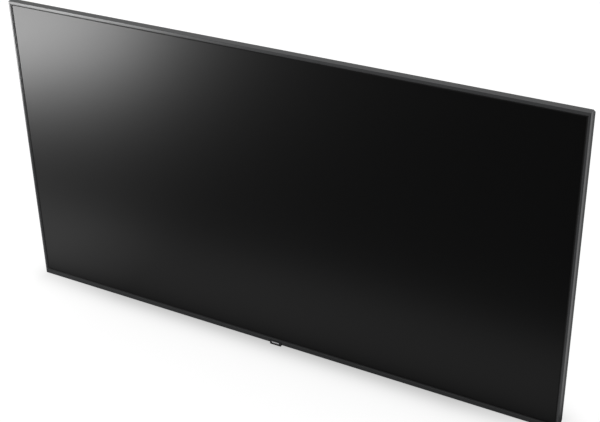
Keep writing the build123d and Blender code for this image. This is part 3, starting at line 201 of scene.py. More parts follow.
def sealing_ring(name):
    """Black ring under the lips: satin next to the metal, dull where it meets the screen, and painted
    near-black there as shade of the gap under the lips.
    """
    finish, graph, shader = start_finish(name)
    skin = grain(graph, place(graph), scale=1600, detail=5, rough=0.65)
    satin_unshaded_band = outside_of(graph, SATIN_BAND)
    # Painted shade: the dull band along the screen is near-black, while the satin band next to the metal is
    # paler.
    colour = mix_colour(graph, satin_unshaded_band, (0.001, 0.001, 0.001), (0.018, 0.018, 0.019))
    dull = spread(graph, satin_unshaded_band, 0.9, 0.36, start=0, end=1)
    rough = compute(graph, "ADD", dull, spread(graph, skin, -0.03, 0.03))
    dress(graph, shader, colour, rough, skin, strength=0.2, depth=20 * MICRON)
    return finish


def screen_front(name):
    """Matte anti-glare front: a black border round the active area, a fine sparkle in both."""
    finish, graph, shader = start_finish(name)
    where = place(graph)
    sparkle = grain(graph, where, scale=3200, detail=2, rough=0.6)
    clouds = grain(graph, where, scale=2.2, detail=2, rough=0.5)
    active = tint(graph, clouds, (0.0006, 0.0006, 0.0007), (0.0009, 0.0009, 0.001))
    colour = mix_colour(graph, outside_of(graph, BORDER), active, (0.0004, 0.0004, 0.0005))
    rough = spread(graph, sparkle, 0.31, 0.35)
    dress(graph, shader, colour, rough, sparkle, strength=0.06, depth=10 * MICRON)
    return finish


def moulded(name, dark, pale, pebble, rough, depth):
    """Moulded plastic with a pebbled tool grain and faint flow clouds."""
    finish, graph, shader = start_finish(name, ior=1.48)
    where = place(graph)
    pebbles = cells(graph, where, pebble).outputs["Distance"]
    dust = grain(graph, where, scale=60, detail=5, rough=0.7)
    shade = blend(graph, grain(graph, where, scale=7, detail=4, rough=0.6), dust, share=0.7)
    colour = tint(graph, shade, dark, pale)
    dress(graph, shader, colour, spread(graph, dust, *rough), pebbles, strength=0.35, depth=depth)
    return finish


def sheet_metal(name, dark, pale):
    """Zinc-coated sheet: flat crystals of differing tone."""
    finish, graph, shader = start_finish(name, metallic=0.9)
    where = place(graph)
    crystal = graph.nodes.new("ShaderNodeSeparateColor")
    graph.links.new(cells(graph, where, scale=150).outputs["Color"], crystal.inputs["Color"])
    film = grain(graph, where, scale=220, detail=4, rough=0.6)
    shade = blend(graph, crystal.outputs["Red"], film, share=0.5)
    colour = tint(graph, shade, dark, pale)
    dress(graph, shader, colour, spread(graph, shade, 0.3, 0.45), film, strength=0.15, depth=40 * MICRON)
    return finish


def turned_metal(name, dark, pale, along=(1, 1, 1), rough=(0.22, 0.34)):
    """Plated or milled metal with fine tool marks."""
    finish, graph, shader = start_finish(name, metallic=1.0)
    marks = grain(graph, place(graph, along), scale=1400, detail=3, rough=0.6)
    shade = blend(graph, marks, grain(graph, place(graph), scale=90, detail=4, rough=0.6), share=0.5)
    colour = tint(graph, shade, dark, pale)
    dress(graph, shader, colour, spread(graph, shade, *rough), marks, strength=0.1, depth=20 * MICRON)
    return finish


def circuit_board(name, solder_mask, track, pad):
    """Solder mask with raised tracks and tinned pads."""
    finish, graph, shader = start_finish(name)
    where = place(graph)
    tracks = cells(graph, where, scale=120)
    tracks.distance = "MANHATTAN"
    tracks.feature = "DISTANCE_TO_EDGE"
    line = spread(graph, tracks.outputs["Distance"], 1, 0, start=0.02, end=0.05)
    pads = cells(graph, where, scale=340)
    dots = spread(graph, pads.outputs["Distance"], 1, 0, start=0.16, end=0.2)
    colour = mix_colour(graph, dots, mix_colour(graph, line, solder_mask, track), pad)
    rough = spread(graph, grain(graph, where, scale=400), 0.32, 0.5)
    relief = compute(graph, "MAXIMUM", line, dots)
    dress(graph, shader, colour, rough, relief, strength=0.3, depth=50 * MICRON)
    return finish


def soft_skin(name, dark, pale, fine, rough, depth, level=0.4):
    """Rubber, pulp, film or white sheet with a fine irregular skin."""
    finish, graph, shader = start_finish(name, ior=1.45, level=level)
    where = place(graph)
    skin = grain(graph, where, scale=fine, detail=5, rough=0.65)
    clouds = grain(graph, where, scale=25, detail=3, rough=0.5)
    colour = tint(graph, clouds, dark, pale)
    dress(graph, shader, colour, spread(graph, skin, *rough), skin, strength=0.3, depth=depth)
    return finish


def wound_tape(name, dark, pale):
    """Layers of tape round a winding."""
    finish, graph, shader = start_finish(name)
    wave = graph.nodes.new("ShaderNodeTexWave")
    wave.bands_direction = "Y"
    wave.inputs["Scale"].default_value = 420
    wave.inputs["Distortion"].default_value = 0.6
    graph.links.new(place(graph), wave.inputs["Vector"])
    bands = wave.outputs["Fac"]
    colour = tint(graph, bands, dark, pale, start=0.1, end=0.9)
    dress(graph, shader, colour, spread(graph, bands, 0.3, 0.45), bands, strength=0.3, depth=100 * MICRON)
    return finish


def clear_moulding(name, colour, transmission=0.0, rough=(0.08, 0.16)):
    """Clear or smoked moulding with faint flow marks."""
    finish, graph, shader = start_finish(name, ior=1.49, transmission=transmission)
    flow = grain(graph, place(graph), scale=150, detail=3, rough=0.5)
    deeper = tuple(value * 0.8 for value in colour)
    streaks = tint(graph, flow, deeper, colour)
    dress(graph, shader, streaks, spread(graph, flow, *rough), flow, strength=0.04, depth=50 * MICRON)
    return finish


ALONG_X = (0.03, 1, 1)
ALONG_Z = (1, 1, 0.03)
# One charcoal coat in lit and shaded copies: the top rail's a little paler as painted light from above, the
# bottom rail's darker and with weaker gloss as painted shade near the floor.
lit_rail_head = charcoal_rail("charcoal_rail_head_painted_light", ALONG_X, (0.037, 0.038, 0.04), (0.045, 0.046, 0.048))
shaded_rail_foot = charcoal_rail(
    "charcoal_rail_foot_painted_shade", ALONG_X, (0.022, 0.0225, 0.0235), (0.028, 0.0285, 0.0295), ior=1.45
)
rail_upright = charcoal_rail("charcoal_rail_upright", ALONG_Z, (0.035, 0.036, 0.038), (0.043, 0.044, 0.046))
screen = screen_front("screen_front")
gasket_black = sealing_ring("gasket_black")

cover_grain = moulded(
    "cover_grain", (0.0215, 0.022, 0.023), (0.03, 0.0305, 0.032),
    pebble=1100, rough=(0.5, 0.6), depth=90 * MICRON
)
tab_grain = moulded(
    "tab_grain", (0.017, 0.017, 0.018), (0.023, 0.023, 0.025),
    pebble=2400, rough=(0.42, 0.5), depth=30 * MICRON
)
switch_grain = moulded(
    "switch_grain", (0.012, 0.012, 0.013), (0.018, 0.018, 0.019),
    pebble=2600, rough=(0.25, 0.36), depth=20 * MICRON
)
socket_black = moulded(
    "socket_black", (0.012, 0.012, 0.013), (0.02, 0.02, 0.021),
    pebble=2000, rough=(0.4, 0.55), depth=30 * MICRON
)
white_moulding = moulded(
    "white_moulding", (0.68, 0.67, 0.62), (0.78, 0.77, 0.72),
    pebble=2200, rough=(0.4, 0.55), depth=30 * MICRON
)
satin_inlay = moulded(
    "satin_inlay", (0.37, 0.37, 0.38), (0.45, 0.45, 0.46),
    pebble=3200, rough=(0.3, 0.4), depth=10 * MICRON
)
jog_grain = moulded(
    "jog_grain", (0.02, 0.02, 0.021), (0.03, 0.03, 0.032),
    pebble=2600, rough=(0.4, 0.5), depth=30 * MICRON
)
mark_white = moulded(
    "mark_white", (0.6, 0.6, 0.6), (0.7, 0.7, 0.7),
    pebble=3000, rough=(0.45, 0.55), depth=10 * MICRON
)

diffuser_white = soft_skin(
    "diffuser_white", (0.78, 0.79, 0.78), (0.86, 0.86, 0.85),
    fine=1800, rough=(0.5, 0.7), depth=30 * MICRON
)
reflector_white = soft_skin(
    "reflector_white", (0.82, 0.82, 0.81), (0.88, 0.88, 0.87),
    fine=1500, rough=(0.55, 0.75), depth=30 * MICRON
)
film_amber = soft_skin(
    "film_amber", (0.32, 0.14, 0.02), (0.45, 0.22, 0.04),
    fine=1200, rough=(0.25, 0.4), depth=30 * MICRON, level=0.5
)
cone_pulp = soft_skin(
    "cone_pulp", (0.02, 0.02, 0.02), (0.035, 0.034, 0.033),
    fine=700, rough=(0.7, 0.9), depth=200 * MICRON
)
sheath_black = soft_skin(
    "sheath_black", (0.012, 0.012, 0.012), (0.02, 0.02, 0.02),
    fine=1400, rough=(0.5, 0.65), depth=40 * MICRON
)

cell_glass = clear_moulding("cell_glass", (0.02, 0.02, 0.024), rough=(0.1, 0.2))
lens_clear = clear_moulding("lens_clear", (0.9, 0.92, 0.92), transmission=0.85)
can_sleeve = clear_moulding("can_sleeve", (0.02, 0.022, 0.03), rough=(0.25, 0.4))
window_smoke = clear_moulding("window_smoke", (0.011, 0.006, 0.007), rough=(0.1, 0.18))
light_lens = clear_moulding("light_lens", (0.6, 0.14, 0.1), transmission=0.6)
lan_lens = clear_moulding("lan_lens", (0.62, 0.5, 0.16), transmission=0.3)

zinc_sheet = sheet_metal("zinc_sheet", (0.42, 0.43, 0.44), (0.62, 0.63, 0.64))
plated_steel = turned_metal("plated_steel", (0.45, 0.45, 0.44), (0.62, 0.62, 0.6))
black_oxide = turned_metal("black_oxide", (0.025, 0.025, 0.026), (0.05, 0.05, 0.052), rough=(0.3, 0.45))
nickel_shell = turned_metal(
    "nickel_shell", (0.5, 0.49, 0.46), (0.66, 0.65, 0.61), along=(1, 1, 0.1), rough=(0.2, 0.32)
)
raw_aluminium = turned_metal(
    "raw_aluminium", (0.55, 0.56, 0.57), (0.7, 0.71, 0.72), along=(1, 0.1, 1), rough=(0.3, 0.42)
)
gold_contact = turned_metal("gold_contact", (0.6, 0.42, 0.14), (0.78, 0.58, 0.25), rough=(0.2, 0.3))
main_laminate = circuit_board(
    "main_laminate", solder_mask=(0.008, 0.05, 0.026), track=(0.014, 0.085, 0.045), pad=(0.5, 0.47, 0.4)
)
tape_yellow = wound_tape("tape_yellow", (0.5, 0.34, 0.06), (0.66, 0.48, 0.11))

NODE_FINISH = {
    "frame_rail_top": lit_rail_head,
    "frame_rail_bottom": shaded_rail_foot,
    "frame_rail_left": rail_upright,
    "frame_rail_right": rail_upright,
    "corner_keys": raw_aluminium,
    "panel_gasket": gasket_black,
    "antiglare_film": screen,
    "lcd_cell": cell_glass,
    "panel_guide": socket_black,
    "diffuser_sheet": diffuser_white,
    "prism_sheet": diffuser_white,
    "diffuser_plate": diffuser_white,
    "reflector_tray": reflector_white,
    "plate_supports": white_moulding,
    "led_bars": white_moulding,
    "led_lenses": lens_clear,
    "bar_links": white_moulding,
    "led_header": white_moulding,
    "backlight_pan": zinc_sheet,
    "mount_rails": zinc_sheet,
    "connector_plate": zinc_sheet,
    "wireless_shield": zinc_sheet,
    "mount_bushes": plated_steel,
    "stand_bushes": plated_steel,
    "board_standoffs": plated_steel,
    "board_screws": plated_steel,
    "cover_screws": black_oxide,
    "rear_cover": cover_grain,
    "speaker_boxes": socket_black,
    "tab_housing": tab_grain,
    "main_board": main_laminate,
    "power_board": main_laminate,
    "timing_board": main_laminate,
    "source_boards": main_laminate,
    "sensor_board": main_laminate,
    "cell_films": film_amber,
    "timing_ribbons": film_amber,
    "hdmi_sockets": nickel_shell,
    "displayport_socket": nickel_shell,
    "usb_sockets": nickel_shell,
    "lan_socket": nickel_shell,
    "jack_sockets": socket_black,
    "mains_inlet": socket_black,
    "rocker_frame": socket_black,
    "rocker_key": switch_grain,
    "processor_sink": raw_aluminium,
    "power_transformers": tape_yellow,
    "power_capacitors": can_sleeve,
    "speaker_drivers": cone_pulp,
    "sensor_window": window_smoke,
    "tab_inlay": satin_inlay,
    "remote_sensor": window_smoke,
    "status_light": light_lens,
    "jog_base": socket_black,
    "jog_ring": jog_grain,
    "jog_stick": jog_grain,
    "jog_knob": jog_grain,
    "tab_lead": sheath_black,
    "speaker_leads": sheath_black,
    "power_lead": sheath_black,
}
for node, finish in NODE_FINISH.items():
    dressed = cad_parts[node]
    dressed.data.materials.clear()
    dressed.data.materials.append(finish)


# Small fittings

def add_piece(bm, name, body, finish):
    """Finish a bmesh as a piece that rides on a body."""
    bmesh.ops.recalc_face_normals(bm, faces=bm.faces)
    mesh = bpy.data.meshes.new(name)
    bm.to_mesh(mesh)
    bm.free()
    piece = bpy.data.objects.new(name, mesh)
    bpy.context.scene.collection.objects.link(piece)
    piece.data.materials.append(finish)
    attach(piece, body)
    return piece


def standing(point, outwards):
    """Matrix that stands a shape made along +Z at a point, facing outwards."""
    turn = Vector((0, 0, 1)).rotation_difference(Vector(outwards)).to_matrix().to_4x4()
    return Matrix.Translation(Vector(point)) @ turn


def shift(x, y, z):
    """Matrix that carries a shape to a place given in metres."""
    return Matrix.Translation((x, y, z))


def middle_of(node):
    """Middle of a node's box."""
    low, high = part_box(node)
    return [(start + end) / 2 for start, end in zip(low, high)]


def millimetres(*profile):
    """Profile given in millimetres, in metres."""
    return [(radius * MM, height * MM) for radius, height in profile]


def verts_of(geometry):
    """The vertices among what an operator made."""
    return [v for v in geometry if isinstance(v, bmesh.types.BMVert)]


def added_since(bm, before):
    """The vertices that were made after a set of them was taken."""
    return [v for v in bm.verts if v not in before]


def round_out(grid, core):
    """Draw a square grid of half width 1 out into a disc, with its core left square."""
    for vert in grid:
        x, y = vert.co.x, vert.co.y
        reach = max(abs(x), abs(y))
        length = math.hypot(x, y)
        if length > 0 and reach > core:
            pull = (reach - core) / (1 - core)
            scale = 1 + (reach / length - 1) * pull
            vert.co = Vector((x * scale, y * scale, 0))


def cross_head(bm, where, radius, height):
    """Screw head: a round pan with a cross recess, made from a grid drawn round."""
    cross_reach, arm_width, recess, taper, crown_drop = 0.8, 0.1, 0.34, 0.8, 0.16
    crown = bmesh.ops.create_grid(bm, x_segments=7, y_segments=7, size=1)["verts"]
    round_out(crown, core=0.2)
    faces = list(dict.fromkeys(f for v in crown for f in v.link_faces))
    cross = []
    for face in faces:
        middle = face.calc_center_median()
        if min(abs(middle.x), abs(middle.y)) < arm_width and middle.length < cross_reach:
            cross.append(face)
    rim = [e for e in dict.fromkeys(e for f in faces for e in f.edges) if len(e.link_faces) == 1]
    skirt = verts_of(bmesh.ops.extrude_edge_only(bm, edges=rim)["geom"])
    bmesh.ops.translate(bm, verts=skirt, vec=(0, 0, -height / radius))
    underside = dict.fromkeys(e for v in skirt for e in v.link_edges if e.is_boundary)
    bmesh.ops.holes_fill(bm, edges=list(underside), sides=0)
    for vert in crown:
        vert.co.z -= crown_drop * vert.co.xy.length ** 2
    pit = verts_of(bmesh.ops.extrude_face_region(bm, geom=cross)["geom"])
    bmesh.ops.delete(bm, geom=cross, context="FACES")
    bmesh.ops.translate(bm, verts=pit, vec=(0, 0, -recess))
    bmesh.ops.scale(bm, verts=pit, vec=(taper, taper, 1))
    head = crown + skirt + pit
    bmesh.ops.scale(bm, verts=head, vec=(radius, radius, radius))
    bmesh.ops.transform(bm, verts=head, matrix=where)


def bar(bm, where, size, ease):
    """Small squared bar about a place: one grid cell drawn up, its edges eased."""
    foot = bmesh.ops.create_grid(bm, x_segments=1, y_segments=1, size=0.5)["verts"]
    top = verts_of(bmesh.ops.extrude_face_region(bm, geom=foot[0].link_faces[:])["geom"])
    corners = foot + top
    bmesh.ops.translate(bm, verts=top, vec=(0, 0, 1))
    bmesh.ops.translate(bm, verts=corners, vec=(0, 0, -0.5))
    bmesh.ops.scale(bm, verts=corners, vec=size)
    bmesh.ops.transform(bm, verts=corners, matrix=where)
    edges = list(dict.fromkeys(e for v in corners for e in v.link_edges))
    open_edges = [e for e in edges if e.is_boundary]
    if open_edges:
        bmesh.ops.holes_fill(bm, edges=open_edges, sides=0)
    bmesh.ops.bevel(
        bm, geom=corners + edges, offset=ease, segments=1, affect="EDGES", profile=0.5, material=-1
    )


def spin_chain(bm, points, closed, middle, axis, steps):
    """Turn a chain of points about an axis through a full circle."""
    verts = [bm.verts.new(point) for point in points]
    edges = [bm.edges.new(pair) for pair in zip(verts, verts[1:])]
    if closed:
        edges.append(bm.edges.new((verts[-1], verts[0])))
    bmesh.ops.spin(
        bm, geom=verts + edges, cent=middle, axis=axis, angle=math.tau, steps=steps, use_merge=True
    )


def turned(bm, profile, where, steps):
    """Shape turned about +Z from a profile of radius and height, then stood in its place."""
    before = set(bm.verts)
    points = [(radius, 0, height) for radius, height in profile]
    spin_chain(bm, points, profile[0][0] > 0, (0, 0, 0), (0, 0, 1), steps)
    bmesh.ops.remove_doubles(bm, verts=added_since(bm, before), dist=1e-7)
    bmesh.ops.transform(bm, verts=added_since(bm, before), matrix=where)


def threaded_bush(bm, x, z, y_rear, y_front, outer, core, crest, pitch, depth):
    """Turned bush with a chamfered mouth and a cut thread, its core blind or right through."""
    chamfer, mouth, land = 0.5 * MM, 0.4 * MM, 0.6 * MM
    flank_end, root_end, drill_tip = 0.45, 0.6, 0.5
    points = [(outer, y_front), (outer, y_rear - chamfer), (outer - chamfer, y_rear), (crest + mouth, y_rear)]
    points.append((crest, y_rear - land))
    for turn in range(int((depth - 2 * land) / pitch)):
        at = y_rear - land - turn * pitch
        points += [(core, at - pitch * flank_end), (core, at - pitch * root_end), (crest, at - pitch)]
    points.append((core, y_rear - depth))
    blind = y_rear - depth > y_front + MM
    points.append((0, y_rear - depth - core * drill_tip) if blind else (core, y_front))
    spin_chain(bm, [(x + r, y, z) for r, y in points], not blind, (x, 0, z), (0, 1, 0), steps=32)
    bmesh.ops.remove_doubles(bm, verts=bm.verts, dist=1e-6)
    if blind:
        bmesh.ops.holes_fill(bm, edges=[e for e in bm.edges if e.is_boundary], sides=0)


def row(node, count, width):
    """Middles of a row of equal sockets along a node."""
    low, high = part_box(node)
    first, last = low[0] + width / 2, high[0] - width / 2
    return [first + (last - first) * spot / max(count - 1, 1) for spot in range(count)]


def cover_screw_heads():
    """Ten dark screw heads in two rows, in the rear cover's recesses."""
    columns, rows, fitted_radius = 5, 2, 3.45 * MM
    low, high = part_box("cover_screws")
    wide, tall = high[0] - low[0] - 2 * fitted_radius, high[2] - low[2] - 2 * fitted_radius
    bm = bmesh.new()
    for level in range(rows):
        for column in range(columns):
            x = low[0] + fitted_radius + wide * column / (columns - 1)
            z = low[2] + fitted_radius + tall * level / (rows - 1)
            cross_head(bm, standing((x, high[1], z), (0, 1, 0)), radius=3.4 * MM, height=1.7 * MM)
    heads = add_piece(bm, "cover_screw_heads", "display", black_oxide)
    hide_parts("cover_screws")


def mount_bushes():
    """Four blind bushes that take the wall bracket's screws."""
    low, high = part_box("mount_bushes")
    half_pitch, radius = 0.2, 11 * MM
    bm = bmesh.new()
    for x in (-half_pitch, half_pitch):
        for z in (-half_pitch, half_pitch):
            threaded_bush(
                bm, x, z, high[1], low[1], outer=radius, core=3.4 * MM, crest=4.0 * MM,
                pitch=1.25 * MM, depth=17 * MM
            )
    bushes = add_piece(bm, "mount_bushes_threaded", "display", plated_steel)
    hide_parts("mount_bushes")


def stand_bushes():
    """Four bushes for the screws of optional feet, threaded right through."""
    low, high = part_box("stand_bushes")
    radius, plain_end = 7 * MM, 0.4 * MM
    depth = high[1] - low[1] - plain_end
    bm = bmesh.new()
    for x in (low[0] + radius, high[0] - radius):
        for z in (low[2] + radius, high[2] - radius):
            threaded_bush(
                bm, x, z, high[1], low[1], outer=radius, core=2.5 * MM, crest=3.0 * MM,
                pitch=1.0 * MM, depth=depth
            )
    feet = add_piece(bm, "stand_bushes_threaded", "display", plated_steel)
    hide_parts("stand_bushes")


BOARD_FACE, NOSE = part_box("hdmi_sockets")[0][1:]


def tongues(sleeves, contacts, node, count, width, depth, tongue, rows, pitch, contact):
    """Plastic tongue with a contact row on each face, in each of a node's equal sockets."""
    thick, length, tongue_z = 1.5 * MM, 10.1 * MM, NOSE + 8.85 * MM
    contact_thick, contact_length = 0.14 * MM, 6.6 * MM
    contact_off, contact_z = 0.77 * MM, NOSE + 7.7 * MM
    y = BOARD_FACE + depth / 2
    for x in row(node, count, width):
        bar(sleeves, shift(x, y, tongue_z), (tongue, thick, length), ease=0.2 * MM)
        for side, number in zip((1, -1), rows):
            for spot in range(number):
                along = (spot - (number - 1) / 2) * pitch
                where = shift(x + along, y + side * contact_off, contact_z)
                bar(contacts, where, (contact, contact_thick, contact_length), ease=0.03 * MM)


def socket_fittings():
    """Tongues and contacts of the picture and data sockets, and the network socket's slanted wires."""
    sleeves, contacts = bmesh.new(), bmesh.new()
    tongues(
        sleeves, contacts, "hdmi_sockets", count=3, width=15.0 * MM, depth=6.0 * MM,
        tongue=9.5 * MM, rows=(10, 9), pitch=0.86 * MM, contact=0.46 * MM
    )
    tongues(
        sleeves, contacts, "displayport_socket", count=1, width=17.6 * MM, depth=6.4 * MM,
        tongue=11.5 * MM, rows=(10, 10), pitch=1.05 * MM, contact=0.5 * MM
    )
    tongues(
        sleeves, contacts, "usb_sockets", count=2, width=14.4 * MM, depth=7.2 * MM,
        tongue=8.1 * MM, rows=(0, 4), pitch=2.0 * MM, contact=1.1 * MM
    )
    x, y, _ = middle_of("lan_socket")
    wires, wire_pitch, wire_size = 8, 1.02 * MM, (0.45 * MM, 0.4 * MM, 9.6 * MM)
    wire_y, wire_z = y - 2.75 * MM, NOSE + 6.3 * MM
    slant = Matrix.Rotation(math.radians(-18), 4, "X")
    for spot in range(wires):
        along = (spot - (wires - 1) / 2) * wire_pitch
        bar(contacts, shift(x + along, wire_y, wire_z) @ slant, wire_size, ease=0.08 * MM)
    add_piece(sleeves, "socket_tongue_sleeves", "display", socket_black)
    add_piece(contacts, "socket_contacts", "display", gold_contact)


def lan_light_windows():
    """Two small windows in the network socket's face, for its lights."""
    aside, off, size = 4.6 * MM, 5.7 * MM, (2.8 * MM, 1.2 * MM, 0.6 * MM)
    x, y, _ = middle_of("lan_socket")
    bm = bmesh.new()
    for side in (-1, 1):
        bar(bm, shift(x + side * aside, y + off, NOSE), size, ease=0.12 * MM)
    add_piece(bm, "lan_light_windows", "display", lan_lens)


def jack_rings():
    """Metal ring round the mouth of each audio jack."""
    ring = millimetres((1.8, -0.3), (3.3, -0.3), (3.3, 0.3), (3.0, 0.55), (2.2, 0.55), (1.8, 0.15))
    body_width = 11 * MM
    bm = bmesh.new()
    for x in row("jack_sockets", 3, body_width):
        turned(bm, ring, standing((x, BOARD_FACE + body_width / 2, NOSE), (0, 0, -1)), steps=32)
    add_piece(bm, "jack_rings", "display", nickel_shell)


def bay_screw_heads():
    """Plated screw heads on the inlet's two ears and along the connector plate."""
    ear_reach, ear_proud = 19.4 * MM, 1.3 * MM
    plate_xs, plate_proud = (258.8 * MM, 426.6 * MM, 462 * MM, 531.3 * MM), 1.1 * MM
    x, y, _ = middle_of("mains_inlet")
    ear_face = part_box("mains_inlet")[0][2]
    bm = bmesh.new()
    for side in (-1, 1):
        where = standing((x + side * ear_reach, y, ear_face - ear_proud), (0, 0, -1))
        cross_head(bm, where, radius=2.7 * MM, height=1.5 * MM)
    plate_y = middle_of("connector_plate")[1]
    plate_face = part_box("connector_plate")[0][2]
    for x in plate_xs:
        where = standing((x, plate_y, plate_face - plate_proud), (0, 0, -1))
        cross_head(bm, where, radius=2.2 * MM, height=1.3 * MM)
    add_piece(bm, "bay_screw_heads", "display", plated_steel)


def inlet_blades():
    """Three flat blades in the mains inlet, the middle one set back from the other two."""
    pitch, step, size = 7 * MM, 2 * MM, (2.2 * MM, 4.2 * MM, 13.1 * MM)
    x, y, _ = middle_of("mains_inlet")
    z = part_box("mains_inlet")[0][2] + 10.4 * MM
    bm = bmesh.new()
    for side, raised in ((-1, -1), (0, 1), (1, -1)):
        bar(bm, shift(x + side * pitch, y + raised * step, z), size, ease=0.35 * MM)
    add_piece(bm, "inlet_blades", "display", nickel_shell)


def rocker_marks():
    """Raised line and ring on the two sloped faces of the mains rocker, the common marks for on and off."""
    pivot_z, tilt = -108.9 * MM, math.radians(10)
    face_run, face_rise, face_aside, face_proud = 0.9815, 0.1915, 4.1, 3.8
    pivot = Vector((middle_of("rocker_frame")[0], middle_of("mains_inlet")[1], pivot_z))
    across_key = Vector((math.cos(tilt), 0, -math.sin(tilt)))
    into_key = Vector((math.sin(tilt), 0, math.cos(tilt)))
    line_size = (0.9 * MM, 5.2 * MM, 0.3 * MM)
    ring = millimetres((1.5, -0.1), (2.4, -0.1), (2.4, 0.1), (2.3, 0.15), (1.6, 0.15), (1.5, 0.1))
    bm = bmesh.new()
    for side in (-1, 1):
        run = face_run * across_key - side * face_rise * into_key
        outwards = -side * face_rise * across_key - face_run * into_key
        face_middle = pivot + (side * face_aside * across_key - face_proud * into_key) * MM
        stand = Matrix((run, run.cross(outwards), outwards)).transposed().to_4x4()
        where = Matrix.Translation(face_middle) @ stand
        if side > 0:
            bar(bm, where, line_size, ease=0.06 * MM)
        else:
            turned(bm, ring, where, steps=32)
    add_piece(bm, "rocker_marks", "rocker", mark_white)


def jog_knob_ribbed():
    """Knob of the jog key: bored for its stick, with a dished face and ribs round its rim."""
    ribs, rib_x, rib_rise, rib_size = 28, 4.86 * MM, 1.15 * MM, (0.26 * MM, 0.4 * MM, 1.1 * MM)
    y, low = middle_of("jog_knob")[1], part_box("jog_knob")[0][2]
    bored_neck = ((0, 0.7), (1.08, 0.7), (1.08, 4.2), (2.1, 4.2), (2.1, 2.15), (2.25, 2.0))
    rim = ((4.5, 2.0), (4.9, 1.75), (4.9, 0.6), (4.5, 0.12))
    dished_face = ((3.9, 0), (3.4, 0.18), (2.0, 0.34), (0, 0.36))
    bm = bmesh.new()
    turned(bm, millimetres(*bored_neck, *rim, *dished_face), shift(0, y, low), steps=48)
    before = set(bm.verts)
    bar(bm, shift(rib_x, y, low + rib_rise), rib_size, ease=0.06 * MM)
    verts = added_since(bm, before)
    edges = dict.fromkeys(e for v in verts for e in v.link_edges)
    faces = dict.fromkeys(f for v in verts for f in v.link_faces)
    bmesh.ops.spin(
        bm, geom=[*verts, *edges, *faces], cent=(0, y, 0), axis=(0, 0, 1),
        angle=math.tau * (ribs - 1) / ribs, steps=ribs - 1, use_duplicate=True
    )
    knob = add_piece(bm, "jog_knob_ribbed", "jog_knob", jog_grain)
    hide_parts("jog_knob")


def jog_direction_dots():
    """Four raised dots on the knob's face, one for each way it tips."""
    circle, rise = 2.9 * MM, 0.3 * MM
    y, low = middle_of("jog_knob")[1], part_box("jog_knob")[0][2]
    dot = millimetres((0, -0.1), (0.42, -0.1), (0.42, 0.05), (0.28, 0.15), (0, 0.2))
    bm = bmesh.new()
    for quarter in range(4):
        arm = Matrix.Rotation(quarter * math.pi / 2, 3, "Z") @ Vector((circle, 0, 0))
        turned(bm, dot, standing(Vector((0, y, low + rise)) + arm, (0, 0, -1)), steps=16)
    add_piece(bm, "jog_direction_dots", "jog_knob", mark_white)


def grille_cloth():
    """Dark strip of cloth behind each speaker grille in the cover's underside."""
    x, y, z, size = 610 * MM, -26.5 * MM, -475 * MM, (108 * MM, 5.4 * MM, 0.4 * MM)
    bm = bmesh.new()
    for side in (-1, 1):
        bar(bm, shift(side * x, y, z), size, ease=0.1 * MM)
    add_piece(bm, "grille_cloth", "display", cone_pulp)


cover_screw_heads()
mount_bushes()
stand_bushes()
socket_fittings()
lan_light_windows()
jack_rings()
bay_screw_heads()
inlet_blades()
rocker_marks()
jog_knob_ribbed()
jog_direction_dots()
grille_cloth()


# Floor, light and camera

def fall_off(graph, distance, reach):
    """One where the distance is nothing, dying away over the reach."""
    return compute(graph, "EXPONENT", compute(graph, "MULTIPLY", distance, -1 / reach))


def foot_shade(graph, along, before):
    """Painted shadow: share of the floor's white that is left near the display, least along the middle of its
    foot.
    """
    core_share, core_reach, core_power = 0.36, 0.04, 1.5
    tail_share, tail_reach = 0.065, 0.2
    side_reach, taper_start, taper_end = 0.05, 0.55, 0.5
    off_middle = compute(graph, "ABSOLUTE", along)
    beside = compute(graph, "MAXIMUM", compute(graph, "SUBTRACT", off_middle, HALF_WIDTH), 0)
    ends = spread(graph, off_middle, 1, taper_end, start=taper_start, end=HALF_WIDTH)
    end_fall = compute(graph, "MULTIPLY", fall_off(graph, beside, side_reach), ends)
    steps = compute(graph, "POWER", compute(graph, "DIVIDE", before, core_reach), core_power)
    core = compute(graph, "MULTIPLY", fall_off(graph, steps, 1), core_share)
    tail = compute(graph, "MULTIPLY", fall_off(graph, before, tail_reach), tail_share)
    shade = compute(graph, "ADD", core, tail)
    return compute(graph, "SUBTRACT", 1, compute(graph, "MULTIPLY", shade, end_fall))


def floor_in_gloss(graph, along, deep, before):
    """Painted reflection: level at which the floor glows in glossy rays only, as the screen mirrors it: dark
    far out and at the foot, palest at the left.
    """
    far_y, near_y = -0.5, -0.374
    far_level, near_level, left_level, rear_level = 0.005, 0.297, 0.361, 0.12
    foot_reach = 0.047
    near = spread(graph, deep, far_level, near_level, start=far_y, end=near_y)
    at_left = spread(graph, along, left_level, 0, start=-0.9, end=-0.55)
    left = compute(graph, "MULTIPLY", at_left, spread(graph, deep, 0, 1, start=far_y, end=near_y))
    behind = spread(graph, deep, 0, rear_level, start=-0.08, end=0.1)
    painted_reflection = compute(graph, "ADD", compute(graph, "ADD", near, left), behind)
    away = compute(graph, "SUBTRACT", 1, fall_off(graph, before, foot_reach))
    return compute(graph, "MULTIPLY", painted_reflection, away)


